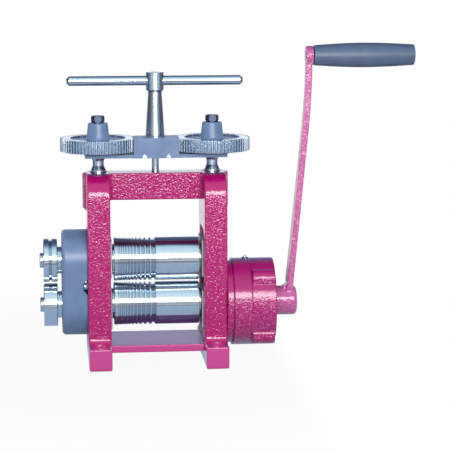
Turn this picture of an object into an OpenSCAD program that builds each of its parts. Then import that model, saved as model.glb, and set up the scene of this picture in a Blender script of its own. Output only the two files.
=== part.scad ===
// Hand cranked rolling mill for jewellers: two geared rolls between side frames,
// twin adjusting screws turned together by a T handle, and a 5 to 1 planetary drive on the crank side.
// Origin: centre of the four bench holes, on the bench. X runs along the rolls, Y to the back, Z up.

/* [Rolls] */
// Diameter of each working roll
roll_d = 56; // [54:0.5:60]
// Length of each working roll's face
roll_len = 110; // [100:1:120]
// Opening between the two rolls as shown
roll_gap = 2.5; // [1.5:0.1:3.5]
// Widest opening that the screws allow
gap_max = 5; // [4:0.5:5.5]
// Height of the lower roll's axis above the bench
roll_axis_h = 74.25; // [72:0.25:78]
// Diameter of the roll journals
journal_d = 30; // [27:0.5:31]
// Diameter of the shoulder between each roll and its journal
shoulder_d = 40; // [36:1:44]

/* [Wire grooves] */
// Width of the largest wire groove
groove_w = 6.2; // [4:0.1:6.4]
// Number of wire grooves on each roll
groove_count = 12; // [6:1:13]
// Flat land beside the largest wire groove
groove_land = 1.43; // [0.8:0.01:1.5]
// Width of each groove as a share of the one before
groove_share = 0.86; // [0.8:0.01:0.88]
// Width of each land as a share of the one before
land_share = 0.947; // [0.9:0.001:0.96]

/* [Frame] */
// Width of each side frame along the rolls
post_w = 29.5; // [27:0.5:34]
// Depth of each side frame from front to back
post_d = 93.4; // [88:0.2:100]
// Height of the frame above the bench
frame_h = 247; // [240:1:260]
// Radius of the rounded front and back corners at the top
top_r = 30; // [24:0.5:32]
// Distance from each roll end to the side frame
end_room = 5; // [4.5:0.1:7]
// Depth of the feet from front to back
foot_d = 144; // [138:1:152]
// Height of the feet
foot_h = 28.8; // [26:0.2:32]
// Radius of the fillet between foot and post
foot_fillet = 10; // [6:0.5:12]
// Diameter of the round boss about each adjusting screw
boss_d = 42.3; // [38:0.1:44]
// Height of the round boss about each adjusting screw
boss_h = 48; // [40:1:54]
// Depth of the top crossmember from front to back
cross_d = 31.3; // [28:0.1:36]
// Height of the top crossmember
cross_h = 34.7; // [30:0.1:38]
// Depth of the base plate from front to back
base_d = 88; // [80:1:92]
// Thickness of the base plate
base_t = 9.6; // [8:0.1:12]
// Height of the base plate's underside above the bench
base_lift = 17.7; // [14:0.1:18.5]
// Distance from the end of a foot to the axis of its bench hole
bench_hole_inset = 12.5; // [11:0.5:14]
// Diameter of the bench holes
bench_hole_d = 9; // [7:0.5:10]

/* [Bearings] */
// Width of the window in each side frame
window_w = 50; // [48:0.5:54]
// Height of each bearing block on its side away from the other roll
block_out_h = 28; // [26:0.5:30]
// Height of each bearing block on its side towards the other roll
block_in_h = 20; // [19:0.25:20.5]
// Room above the upper bearing blocks as shown
window_room = 11.25; // [8:0.25:13]
// Wall of the bronze bushes
bush_wall = 2.5; // [2:0.1:2.8]
// Width of the flange that each bearing block carries inside the frame
flange_w = 58; // [54:0.5:62]

/* [Lift springs] */
// Diameter of the lift springs' wire
wire_d = 1; // [0.8:0.1:1.2]
// Outer diameter of the lift springs
spring_d = 6.4; // [6:0.1:6.6]
// Number of curls of each lift spring
spring_curls = 8; // [6:1:9]
// Depth of the pocket that each spring end stands in
pocket_depth = 6; // [4:0.5:7]

/* [Roll gears and extension rollers] */
// Number of teeth on each roll gear
roll_teeth = 14; // [13:1:15]
// Width of the roll gears
roll_gear_w = 18; // [14:1:19]
// Diameter of the shaft seats for the gears and extension rollers
seat_d = 24; // [20:0.5:25]
// Length of the gear cover along the shafts
cover_len = 33; // [32:0.5:38]
// Room between the roll gears' tips and the inside of their cover
cover_room = 3.15; // [2.75:0.05:6]
// Wall of the gear cover
cover_wall = 4; // [3:0.1:4]
// Diameter of the collars between the cover and the extension rollers
collar_d = 35; // [34:0.5:38]
// Length of those collars
collar_len = 5.2; // [4:0.1:7]
// Width of the extension rollers
ext_w = 17.8; // [14:0.2:22]
// Width of the wire groove in the upper extension roller
ext_groove_w = 4.3; // [3:0.1:6]
// Diameter of the screws that hold the extension rollers
end_screw_d = 19; // [17:0.5:21]
// Height of the heads of those screws
end_screw_h = 4.8; // [4:0.1:6]

/* [Planetary drive] */
// Tooth module of the planetary gears
planet_module = 1.25; // [1.2:0.01:1.28]
// Outer diameter of the gearbox
gearbox_d = 114; // [112:1:120]
// Distance from the side frame to the gearbox
gearbox_gap = 8.6; // [7:0.1:10]
// Length of the gearbox housing
housing_len = 22.9; // [22:0.1:26]
// Length of the gearbox lid
lid_len = 31.2; // [28:0.1:36]
// Step from the gearbox's edge in to the spacer behind it
spacer_step = 3; // [2:0.5:6]
// Diameter of the crank shaft
crank_shaft_d = 19; // [16:0.5:19]

/* [Crank] */
// Distance from the crank's axis to the grip's axis
crank_r = 321; // [240:0.5:340]
// Diameter of the crank hub
hub_d = 38.4; // [34:0.2:44]
// Length of the crank hub
hub_len = 31; // [28:0.5:36]
// Thickness of the crank arm
arm_t = 7.8; // [7:0.1:10]
// Width of the crank arm at the hub
arm_root_w = 28; // [24:0.5:34]
// Width of the crank arm at the grip
arm_tip_w = 16; // [14:0.5:24]
// Outward lean of the crank arm's straight length, in degrees
arm_lean = 5.5; // [3:0.1:6.5]
// Height above the crank's axis where the crank arm starts to bend upright
arm_bend_h = 225; // [150:1:230]
// Length of the grip
grip_len = 132.6; // [110:0.2:140]
// Largest diameter of the grip
grip_d = 31.8; // [28:0.2:36]
// Diameter of the grip beside the crank arm
grip_root_d = 26; // [22:0.2:28]
// Diameter of the grip at its free end
grip_end_d = 26.8; // [22:0.2:28]
// Diameter of the pin that the grip turns on
grip_pin_d = 10; // [8:0.5:12]

/* [Adjusting screws] */
// Diameter of the adjusting screws' thread
screw_d = 20; // [18:0.5:22]
// Diameter of the waist between the frame and the bridge plate
screw_waist_d = 15; // [14.5:0.5:16]
// Diameter of each screw above the bridge plate
screw_top_d = 16; // [14:0.5:17]
// Width of the screw gears and their pinion
screw_gear_w = 16.6; // [12:0.2:18]
// Width of the bright rim from each screw gear's pitch circle inwards
rim_w = 11.75; // [7:0.25:14]
// Height of the tapered hub above each hub disc
cone_h = 21.4; // [14:0.2:24]
// Diameter of the tapered hub at its foot
cone_foot_d = 29.5; // [26:0.1:32]
// Diameter of the tapered hub at its top
cone_top_d = 25.5; // [22:0.1:26]

/* [Bridge and T handle] */
// Distance from each screw's axis to the end of the bridge plate
plate_end = 17.5; // [14:0.5:22]
// Thickness of the bridge plate
plate_t = 4.5; // [4:0.1:6]
// Height of the bridge plate above the frame
plate_lift = 20.8; // [18:0.2:26]
// Room from the pinion's teeth to the ends of its cover
cap_end_room = 1.15; // [0.9:0.05:3]
// Room from the pinion's teeth to the front of its cover
cap_side_room = 2.05; // [1:0.05:4]
// Diameter of the T handle's post at its foot
post_foot_d = 25.3; // [22:0.1:28]
// Diameter of the T handle's post under its collar
post_neck_d = 18; // [16:0.1:20]
// Height of the tapered length of the post
post_taper_h = 58.8; // [40:0.1:70]
// Diameter of the collar that holds the T bar
head_d = 23.5; // [21:0.1:28]
// Height of that collar
head_h = 22.5; // [21:0.5:32]
// Diameter of the T bar
bar_d = 12.4; // [10:0.1:14]
// Length of the T bar
bar_len = 226; // [180:1:260]
// Diameter of the spindle below the bridge plate
spindle_d = 9.5; // [8:0.1:12]

/* [Hidden] */

// Facets that stand for a true circle
round_fn = 96;
// Overrun of every cut past the face it opens
cut = 1;
// Radial clearance of a shaft that turns in its bearing
run_clear = 0.05;
// Radial clearance of a shaft that is fixed in its seat
seat_clear = 0.02;
// Gap between faces of pieces that move past each other
face_clear = 0.3;
// Side clearance of the bearing blocks in their windows
block_clear = 0.15;
// Steps of a rounded corner in a turned outline
arc_steps = 6;

// Heights of the two roll axes and of the point midway between them
lower_z = roll_axis_h;
upper_z = lower_z + roll_d + roll_gap;
mid_z = (lower_z + upper_z) / 2;
// How far the upper roll and the head go down, and up, from where they are shown
travel_down = roll_gap;
travel_up = gap_max - roll_gap;

// Inner and outer faces of the side frames
in_x = roll_len / 2 + end_room;
out_x = in_x + post_w;
bench_x = in_x + out_x;
// Top of the windows in the side frames
window_top = upper_z + block_out_h + window_room;
// Distance between the bench holes from front to back
bench_y = foot_d - 2 * bench_hole_inset;
// Depth and width of the round recess about each bench hole
recess_depth = 1.5;
recess_rim = 4.5;
// Rounding at the foot of each screw boss
boss_round = 4;
// Flare at each end of the top crossmember
cross_flare = 3.4;

// Bearing blocks along the shafts
block_proud = 2;
block_in_x = in_x - block_proud;
block_out_x = out_x - face_clear;
block_flange_t = in_x - block_in_x - face_clear;
bush_d = journal_d + 2 * bush_wall;
bush_flange_rim = 2;
bush_flange_d = bush_d + 2 * bush_flange_rim;
bush_flange_t = 1;
bush_in_x = block_in_x - bush_flange_t;
shoulder_x = bush_in_x - face_clear;

// Lift springs and their pins, in front of and behind the journals
spring_y = (window_w / 2 - block_clear + bush_d / 2) / 2 - wire_d / 2;
spring_x = (in_x + out_x) / 2;
pocket_clear = 0.3;
pocket_d = spring_d + 2 * pocket_clear;
pin_clear = 0.7;
pin_d = spring_d - 2 * wire_d - 2 * pin_clear;
spring_low = lower_z + block_in_h - pocket_depth;
spring_high = upper_z - block_in_h + pocket_depth;
pin_root = 5;
pin_top_room = 1.5;
// Rings of each curl and sides of the wire
rings_per_curl = 8;
wire_sides = 6;

// Thrust pads under the adjusting screws
pad_d = 22;
pad_t = 4;
pad_sink = 1;
pad_clear = 0.1;
pad_top = upper_z + block_out_h + pad_t - pad_sink;

// Roll gears along the shafts
gear_room = 5;
gear_in_x = out_x + gear_room;
gear_out_x = gear_in_x + roll_gear_w;
cover_x = out_x + cover_len;
collar_x = cover_x + face_clear;
ext_in_x = collar_x + collar_len;
ext_out_x = ext_in_x + ext_w;
shaft_end_room = 0.4;
roll_module = roll_d / roll_teeth;
// Tooth heights above and below the pitch circle, as shares of the module
long_addendum_share = 1.125;
dedendum_share = 1.25;
roll_addendum = long_addendum_share * roll_module;
roll_dedendum = dedendum_share * roll_module;
// Radius of the gear cover's round ends
cover_r = roll_d / 2 + roll_addendum + cover_room + cover_wall;
roll_backlash = 0.25;
sleeve_wall = 2;
sleeve_d = seat_d + 2 * sleeve_wall;
cover_hole_clear = 1;
cover_edge_r = 5;
key_w = 6;
key_end_room = 1;
key_len = roll_gear_w - 2 * key_end_room;
ext_edge = 0.8;
roll_edge = 0.6;
end_bolt_d = 10;
end_bolt_len = 20;
drill_room = 2;
end_socket_af = 8;
end_socket_depth = 3.4;

// Lugs, notches and screws that hold the gear cover
lug_d = 10;
lug_t = 2.4;
lug_inset = 5.4;
lug_y = cover_r - lug_inset;
notch_r = 11;
notch_bite = 6.1;
cap_screw_d = 5;
cap_screw_len = 16;
cap_head_d = 8.5;
cap_head_h = 2.6;
cap_socket_af = 4;

// Gearbox along the crank shaft
sun_teeth = 18;
planet_teeth = 27;
housing_x = out_x + gearbox_gap;
lid_x = housing_x + housing_len;
gearbox_end_x = lid_x + lid_len;
housing_back_t = 5;
carrier_t = 7;
carrier_in_x = housing_x + housing_back_t + 2 * face_clear;
carrier_out_x = carrier_in_x + carrier_t;
planet_in_x = carrier_out_x + face_clear;
planet_out_x = lid_x;
ring_teeth = sun_teeth + 2 * planet_teeth;
planet_orbit_r = planet_module * (sun_teeth + planet_teeth) / 2;
ring_d = planet_module * ring_teeth;
ring_wall = 4.4;
planet_dedendum = dedendum_share * planet_module;
ring_out_d = ring_d + 2 * (planet_dedendum + ring_wall);
planet_backlash = 0.08;
planet_count = 3;
planet_pin_d = 8;
planet_pin_head_d = 12;
planet_pin_head_t = 1.2;
carrier_rim = 8;
carrier_d = 2 * (planet_orbit_r + carrier_rim);
carrier_seat_d = 22;
pilot_d = 10;
pilot_len = 11;
lid_wall = 6;
lid_lip = 4;
lid_boss_d = 40;
lid_boss_len = 24;
crank_bush_wall = 3.5;
lid_lobe_r = 12;
lid_lobe_at = 52;
lid_lobe_turn = 44;
lid_lobe_count = 4;
lid_lobe_inset = 1.2;
lid_screw_d = 3;
lid_screw_wall = 0.9;
lid_screw_r = (ring_out_d + lid_screw_d) / 2 + lid_screw_wall;
lid_screw_head_d = 5.5;
lid_screw_head_h = 3;
lid_screw_grip = 10;
mount_screw_d = 6;
mount_head_d = 11.5;
mount_screw_y = 37;
mount_screw_up = 7.6;
mount_screw_down = 24;
mount_screw_grip = 10;
oiler_inset = 4.5;
oiler_x = lid_x - oiler_inset;
oiler_d = 9;
oiler_rise = 1.8;
oiler_cap_d = 5.2;
oiler_ball_d = 4.2;
oiler_stem_d = 4;
oiler_stem_len = 4;

// Crank
hub_gap = 0.5;
hub_x = gearbox_end_x + hub_gap;
hub_end_x = hub_x + hub_len;
hub_chamfer = 2.5;
hub_end_wall = 7.4;
hub_bore_end = hub_end_x - hub_end_wall;
shaft_end_x = hub_bore_end - face_clear;
arm_inset = 10.7;
arm_root_x = hub_end_x - arm_inset;
arm_bend_x = arm_root_x + tan(arm_lean) * arm_bend_h;
arm_bend_r = (crank_r - arm_bend_h) / sin(arm_lean);
arm_top_x = arm_bend_x + arm_bend_r * (1 - cos(arm_lean));
arm_boss_d = 24.4;
arm_boss_left = 4.2;
arm_boss_right = 5.2;
arm_boss_in_x = arm_top_x - arm_boss_left;
arm_boss_out_x = arm_top_x + arm_boss_right;
root_fillet = 5;
// Width of the root fillet as a share of the arm's width there
fillet_share = 0.7;
set_screw_d = 6;
set_screw_inset = 9;
set_screw_x = hub_x + set_screw_inset;
set_screw_sink = 1;
grip_gap = 0.8;
grip_x = arm_boss_out_x + grip_gap;
grip_end_x = grip_x + grip_len;
grip_z = lower_z + crank_r;
grip_bulge_share = 0.5;
grip_dome = 2.2;
grip_steps = 16;
grip_bore_room = 11;
pin_end_rise = 0.4;

// Head above the frame
screw_teeth = 63;
pinion_teeth = 35;
screw_inset = 1.25;
screw_x = (in_x + out_x) / 2 - screw_inset;
screw_module = 2 * screw_x / (screw_teeth + pinion_teeth);
screw_gear_d = screw_module * (screw_teeth + 2);
pinion_d = screw_module * (pinion_teeth + 2);
disc_d = screw_module * screw_teeth - 2 * rim_w;
plate_len = 2 * (screw_x + plate_end);
plate_z = frame_h + plate_lift;
plate_top = plate_z + plate_t;
gear_lift = 2.4;
screw_gear_z = plate_top + gear_lift;
screw_gear_top = screw_gear_z + screw_gear_w;
screw_backlash = 0.1;
// How far the pinion's top stays below the screw gears' tops
pinion_drop = 1.5;
disc_sink = 2;
disc_t = screw_gear_w - 2 * disc_sink;
disc_top = screw_gear_top - disc_sink;
hub_foot_d = 26;
cone_fillet = 3;
cone_top = disc_top + cone_h;
lock_head_af = 15;
lock_head_h = 9;
lock_chamfer = 1.2;
// How high the chamfer under the bolt's head reaches
lock_waist_h = 2.4;
lock_shank_d = 8;
lock_shank_len = 24;
screw_top_room = 0.6;
nose_step = 2;
screw_nose_d = screw_d - 2 * nose_step;
screw_nose_h = 4;
flare_h = 5.5;
cap_wall = 2;
cap_roof_gap = 0.4;
cap_top = screw_gear_top + cap_roof_gap + cap_wall;
cap_gear_room = 1;
cap_len = pinion_d + 2 * cap_end_room;
plate_d = pinion_d + 2 * cap_side_room;
cap_d = plate_d + 2 * cap_wall;
cap_screw_x = 15.3;
trim_screw_d = 3;
trim_screw_len = 9;
trim_head_d = 5.4;
trim_head_h = 1.2;
post_z = cap_top + face_clear;
post_shaft_d = 16;
post_collar_z = post_z + post_taper_h;
head_chamfer = 2.4;
head_top = post_collar_z + head_h;
bar_drop = 10.9;
bar_z = head_top - bar_drop;
bar_end_chamfer = 3;
spindle_depth = 15;
spindle_room = 7;

// Points of a circular arc from angle a to angle b
function arc(cx, cy, r, a, b) =
    [for (i = [0:arc_steps]) let (t = a + (b - a) * i / arc_steps) [cx + r * cos(t), cy + r * sin(t)]];

// Widths and middles of the wire grooves, the largest first
function groove_width(i) = groove_w * pow(groove_share, i);
function groove_mid(i) = i == 0 ? -groove_land - groove_w / 2 + groove_land * (1 - land_share)
    : groove_mid(i - 1) - (groove_width(i - 1) + groove_width(i)) / 2
        - groove_land * pow(land_share, i - 1);

// Grooves that fit on the left half, the smallest first
grooves = [for (j = [1:groove_count]) let (i = groove_count - j)
    if (groove_mid(i) - groove_width(i) > -roll_len / 2 + roll_edge) i];

// Pressure angle of every gear and steps along each tooth flank
pressure = 20;
flank_steps = 3;
// Angle rolled along an involute from its base circle to radius r
function rolled(r, base) = let (a = acos(min(1, base / r))) tan(a) * 180 / PI - a;
// Half of the angle that a tooth takes up at radius r; slack thins it, as a length on the pitch circle
function half_tooth(r, pitch_r, teeth, slack) =
    let (base = pitch_r * cos(pressure))
    90 / teeth - slack / 2 / pitch_r * 180 / PI + rolled(pitch_r, base) - rolled(max(r, base), base);
// Outline of a gear with its first tooth on angle 0
function gear_outline(pitch_r, teeth, addendum, dedendum, slack) =
    let (
        root = pitch_r - dedendum,
        tip = pitch_r + addendum,
        low = max(root, pitch_r * cos(pressure)),
        radii = concat(low > root ? [root] : [], [for (k = [0:flank_steps])
            low + (tip - low) * k / flank_steps]),
        n = len(radii)
    )
    [for (i = [0:teeth - 1], side = [-1, 1], k = [0:n - 1])
        let (
            r = radii[side < 0 ? k : n - 1 - k],
            a = 360 * i / teeth + side * half_tooth(r, pitch_r, teeth, slack)
        )
        [r * cos(a), r * sin(a)]];

// A box between two corners
module block(low, high) translate(low) cube(high - low);
// Round bars along X, Y and Z
module bar_x(d, x0, x1, y, z) translate([x0, y, z]) rotate([0, 90, 0])
    cylinder(d = d, h = x1 - x0, $fn = round_fn);
module bar_y(d, y0, y1, x, z) translate([x, y0, z]) rotate([-90, 0, 0])
    cylinder(d = d, h = y1 - y0, $fn = round_fn);
module bar_z(d, z0, z1, x, y) translate([x, y, z0]) cylinder(d = d, h = z1 - z0, $fn = round_fn);
// Turned pieces about X and about Z, from an outline of [radius, length] points
module turned_x(points) rotate([0, 90, 0]) rotate_extrude($fn = round_fn) polygon(points);
module turned_z(points) rotate_extrude($fn = round_fn) polygon(points);
// A six sided hole or head along X and along Z, by its width across flats
module hex_x(af, x0, x1) translate([x0, 0, 0]) rotate([0, 90, 0])
    cylinder(d = af / cos(30), h = x1 - x0, $fn = 6);
module hex_z(af, z0, z1) translate([0, 0, z0]) cylinder(d = af / cos(30), h = z1 - z0, $fn = 6);
module on_left() mirror([1, 0, 0]) children();

// Castings of the frame

module side_frame() {
    color("mediumvioletred") difference() {
        union() {
            block([in_x, -post_d / 2, 0], [out_x, post_d / 2, frame_h - top_r]);
            block([in_x, -post_d / 2 + top_r, 0], [out_x, post_d / 2 - top_r, frame_h]);
            for (s = [-1, 1]) bar_x(2 * top_r, in_x, out_x, s * (post_d / 2 - top_r), frame_h - top_r);
            block([in_x, -foot_d / 2, 0], [out_x, foot_d / 2, foot_h]);
            for (s = [-1, 1]) foot_corner(s);
            intersection() {
                translate([screw_x, 0, 0]) turned_z(concat([[0, frame_h - boss_h]],
                    arc(boss_d / 2 - boss_round, frame_h - boss_h + boss_round, boss_round, -90, 0),
                    [[boss_d / 2, frame_h], [0, frame_h]]));
                block([in_x, -boss_d, 0], [screw_x + boss_d, boss_d, frame_h]);
            }
        }
        block([in_x - cut, -window_w / 2, lower_z - block_out_h], [out_x + cut, window_w / 2, window_top]);
        bar_z(screw_d + 2 * run_clear, window_top - cut, frame_h + cut, screw_x, 0);
        for (s = [-1, 1]) {
            bar_z(bench_hole_d, -cut, foot_h + cut, bench_x / 2, s * bench_y / 2);
            bar_z(bench_hole_d + 2 * recess_rim, foot_h - recess_depth, foot_h + cut, bench_x / 2,
                s * bench_y / 2);
        }
    }
}

// Fillet between the top of a foot and the face of its post
module foot_corner(s) {
    difference() {
        block(
            [in_x, min(s * post_d / 2, s * (post_d / 2 + foot_fillet)), foot_h - cut],
            [out_x, max(s * post_d / 2, s * (post_d / 2 + foot_fillet)), foot_h + foot_fillet]);
        bar_x(2 * foot_fillet, in_x - cut, out_x + cut, s * (post_d / 2 + foot_fillet),
            foot_h + foot_fillet);
    }
}

module left_side_frame() {
    difference() {
        on_left() side_frame();
        for (s = [-1, 1])
            bar_x(cap_screw_d + 2 * seat_clear, -out_x - cut, -out_x - lug_t + cap_screw_len + drill_room,
                s * lug_y, mid_z);
    }
}

module right_side_frame() {
    difference() {
        side_frame();
        for (p = mount_points())
            bar_x(mount_screw_d + 2 * seat_clear, out_x - mount_screw_grip - drill_room, out_x + cut,
                p[0], p[1]);
    }
}

module top_crossmember() {
    color("mediumvioletred") difference() {
        translate([0, 0, frame_h - cross_h]) linear_extrude(cross_h) polygon([
            for (s = [[1, 1], [-1, 1], [-1, -1], [1, -1]], far = s[0] * s[1] > 0 ? [1, 0] : [0, 1])
                [s[0] * (in_x - (1 - far) * cross_flare), s[1] * (cross_d / 2 + far * cross_flare)]]);
        bar_z(spindle_d + 2 * run_clear, frame_h - spindle_depth - spindle_room, frame_h + cut, 0, 0);
    }
}

module base_plate() {
    color("mediumvioletred") block([-in_x, -base_d / 2, base_lift], [in_x, base_d / 2, base_lift + base_t]);
}

// Bearings

// Right bearing block; up is 1 for the upper roll and -1 for the lower one
module bearing_block(up) {
    z = up > 0 ? upper_z : lower_z;
    far = z + up * block_out_h;
    near = z - up * block_in_h;
    color("slategray") difference() {
        union() {
            block([block_in_x, -window_w / 2 + block_clear, min(far, near)],
                [block_out_x, window_w / 2 - block_clear, max(far, near)]);
            block([block_in_x, -flange_w / 2, min(far, near)],
                [block_in_x + block_flange_t, flange_w / 2, max(far, near)]);
        }
        bar_x(bush_d + 2 * seat_clear, block_in_x - cut, block_out_x + cut, 0, z);
        for (s = [-1, 1]) {
            bar_z(pocket_d, min(near - up * cut, near + up * pocket_depth),
                max(near - up * cut, near + up * pocket_depth),
                spring_x, s * spring_y);
            if (up < 0) bar_z(pin_d + 2 * seat_clear, near - pocket_depth - pin_root, near, spring_x,
                s * spring_y);
        }
        if (up > 0) bar_z(pad_d + 2 * seat_clear, far - pad_sink, far + cut, screw_x, 0);
    }
}
module left_lower_bearing_block() on_left() bearing_block(-1);
module right_lower_bearing_block() bearing_block(-1);
module left_upper_bearing_block() on_left() bearing_block(1);
module right_upper_bearing_block() bearing_block(1);

module bush_pair(z) {
    inner = journal_d / 2 + run_clear;
    color("peru") for (s = [0, 1]) mirror([s, 0, 0]) translate([0, 0, z]) turned_x([
        [inner, bush_in_x], [bush_flange_d / 2, bush_in_x], [bush_flange_d / 2, block_in_x],
        [bush_d / 2, block_in_x], [bush_d / 2, block_out_x], [inner, block_out_x]]);
}
module lower_bushes() bush_pair(lower_z);
module upper_bushes() bush_pair(upper_z);

module at_springs() for (sx = [-1, 1], sy = [-1, 1]) translate([sx * spring_x, sy * spring_y, 0])
    children();

module spring_guide_pins() {
    color("silver") at_springs()
        bar_z(pin_d, spring_low - pin_root, spring_high - travel_down - pin_top_room, 0, 0);
}

// Middle of the spring wire at ring i, and the rings of its six sided skin
spring_rings = spring_curls * rings_per_curl;
spring_r = (spring_d - wire_d) / 2;
spring_rise = (spring_high - spring_low - wire_d - 2 * seat_clear) / spring_rings;
function wire_mid(i) = let (a = 360 * i / rings_per_curl)
    [spring_r * cos(a), spring_r * sin(a), spring_low + wire_d / 2 + seat_clear + i * spring_rise];
function wire_ring(i) = let (a = 360 * i / rings_per_curl, c = wire_mid(i))
    [for (k = [0:wire_sides - 1]) let (b = 360 * k / wire_sides)
        c + wire_d / 2 * [cos(b) * cos(a), cos(b) * sin(a), sin(b)]];
spring_points = [for (i = [0:spring_rings]) each wire_ring(i)];
spring_faces = concat(
    [for (i = [0:spring_rings - 1], k = [0:wire_sides - 1])
        let (a = i * wire_sides + k, b = i * wire_sides + (k + 1) % wire_sides) [a, a + wire_sides, b]],
    [for (i = [0:spring_rings - 1], k = [0:wire_sides - 1])
        let (a = i * wire_sides + k, b = i * wire_sides + (k + 1) % wire_sides)
            [b, a + wire_sides, b + wire_sides]],
    [for (k = [1:wire_sides - 2]) [0, k, k + 1]],
    [for (k = [1:wire_sides - 2]) let (e = spring_rings * wire_sides) [e, e + k + 1, e + k]]);
// Least gap between one curl and the next, measured between the rings' middles
spring_least_gap = min([for (i = [0:spring_rings - rings_per_curl],
    j = [i + rings_per_curl - 2:min(spring_rings, i + rings_per_curl + 2)])
    norm(wire_mid(i) - wire_mid(j))]) - wire_d;

module lift_springs() {
    echo(spring_least_gap = spring_least_gap);
    color("lightsteelblue") at_springs() polyhedron(spring_points, spring_faces);
}

module thrust_pads() {
    color("dimgray") for (s = [-1, 1]) bar_z(pad_d, pad_top - pad_t, pad_top, s * screw_x, 0);
}

// Rolls and what turns with them

// Outline of a roll's left shaft, face with its wire grooves, and right shoulder
function roll_outline() = concat(
    [[0, -ext_out_x + shaft_end_room], [seat_d / 2, -ext_out_x + shaft_end_room], [seat_d / 2, -gear_in_x],
        [journal_d / 2, -gear_in_x], [journal_d / 2, -shoulder_x], [shoulder_d / 2, -shoulder_x],
        [shoulder_d / 2, -roll_len / 2], [roll_d / 2 - roll_edge, -roll_len / 2],
            [roll_d / 2, -roll_len / 2 + roll_edge]],
    [for (i = grooves, p = [-1, 0, 1]) let (w = groove_width(i))
        [roll_d / 2 - (1 - abs(p)) * w / 2, groove_mid(i) + p * w / 2]],
    [[roll_d / 2, roll_len / 2 - roll_edge], [roll_d / 2 - roll_edge, roll_len / 2],
        [shoulder_d / 2, roll_len / 2],
        [shoulder_d / 2, shoulder_x], [journal_d / 2, shoulder_x]]);

// A roll with the holes in its left shaft; the rest of its right shaft is given as outline points
module roll(z, right_shaft) {
    color("lightsteelblue") difference() {
        translate([0, 0, z]) turned_x(concat(roll_outline(), right_shaft));
        bar_x(end_bolt_d + 2 * seat_clear, -ext_out_x - cut, -ext_out_x + end_bolt_len + drill_room, 0, z);
        gear_key(z, seat_clear);
        translate([0, 0, z]) children();
    }
}

module lower_roll() {
    roll(lower_z, [[journal_d / 2, carrier_in_x - face_clear],
        [carrier_seat_d / 2, carrier_in_x - face_clear],
        [carrier_seat_d / 2, carrier_out_x], [0, carrier_out_x]])
        bar_x(pilot_d + 2 * run_clear, carrier_out_x - pilot_len - drill_room, carrier_out_x + cut, 0, 0);
}
module upper_roll() roll(upper_z, [[journal_d / 2, block_out_x], [0, block_out_x]]);

// Key between a roll's shaft and its gear, grown by a clearance when it cuts its keyways
module gear_key(z, grow) {
    block([-gear_out_x + (roll_gear_w - key_len) / 2 - grow, -key_w / 2 - grow,
        z + seat_d / 2 - key_w / 2 - grow],
        [-gear_in_x - (roll_gear_w - key_len) / 2 + grow, key_w / 2 + grow,
            z + seat_d / 2 + key_w / 2 + grow]);
}
module lower_gear_key() color("gray") gear_key(lower_z, 0);
module upper_gear_key() color("gray") gear_key(upper_z, 0);

module roll_gear(z, turn) {
    color("gray") difference() {
        translate([-gear_out_x, 0, z]) rotate([turn, 0, 0]) rotate([0, 90, 0]) linear_extrude(roll_gear_w)
            polygon(gear_outline(roll_d / 2, roll_teeth, roll_addendum, roll_dedendum, roll_backlash));
        bar_x(seat_d + 2 * seat_clear, -gear_out_x - cut, -gear_in_x + cut, 0, z);
        gear_key(z, seat_clear);
    }
}
module lower_roll_gear() roll_gear(lower_z, 180);
module upper_roll_gear() roll_gear(upper_z, 180 / roll_teeth);

module spacer_sleeve(z) {
    bore = seat_d / 2 + seat_clear;
    color("lightgray") translate([0, 0, z]) turned_x([
        [bore, -ext_in_x], [collar_d / 2, -ext_in_x], [collar_d / 2, -collar_x],
        [sleeve_d / 2, -collar_x], [sleeve_d / 2, -gear_out_x], [bore, -gear_out_x]]);
}
module lower_spacer_sleeve() spacer_sleeve(lower_z);
module upper_spacer_sleeve() spacer_sleeve(upper_z);

// Extension roller; a groove width above zero cuts its wire groove
module extension_roller(z, groove) {
    bore = seat_d / 2 + seat_clear;
    r = roll_d / 2;
    middle = -(ext_in_x + ext_out_x) / 2;
    color("lightsteelblue") translate([0, 0, z]) turned_x(concat(
        [[bore, -ext_out_x], [r - ext_edge, -ext_out_x], [r, -ext_out_x + ext_edge]],
        groove > 0 ? [[r, middle - groove / 2], [r - groove / 2, middle], [r, middle + groove / 2]] : [],
        [[r, -ext_in_x - ext_edge], [r - ext_edge, -ext_in_x], [bore, -ext_in_x]]));
}
module lower_extension_roller() extension_roller(lower_z, 0);
module upper_extension_roller() extension_roller(upper_z, ext_groove_w);

module roller_screw(z) {
    far = -ext_out_x - end_screw_h;
    color("lightgray") translate([0, 0, z]) difference() {
        turned_x([[0, far], [end_screw_d / 2 - ext_edge, far], [end_screw_d / 2, far + ext_edge],
            [end_screw_d / 2, -ext_out_x], [end_bolt_d / 2, -ext_out_x],
            [end_bolt_d / 2, -ext_out_x + end_bolt_len], [0, -ext_out_x + end_bolt_len]]);
        hex_x(end_socket_af, far - cut, far + end_socket_depth);
    }
}
module lower_roller_screw() roller_screw(lower_z);
module upper_roller_screw() roller_screw(upper_z);

// Gear cover on the left

// Space around both shafts: an outline of [radius, length] turned about each axis and drawn between them
module capsule(points) {
    for (z = [lower_z, upper_z]) translate([0, 0, z]) turned_x(points);
    translate([0, 0, lower_z]) linear_extrude(upper_z - lower_z)
        for (s = [-1, 1]) polygon([for (p = points) [p[1], s * p[0]]]);
}

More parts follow.
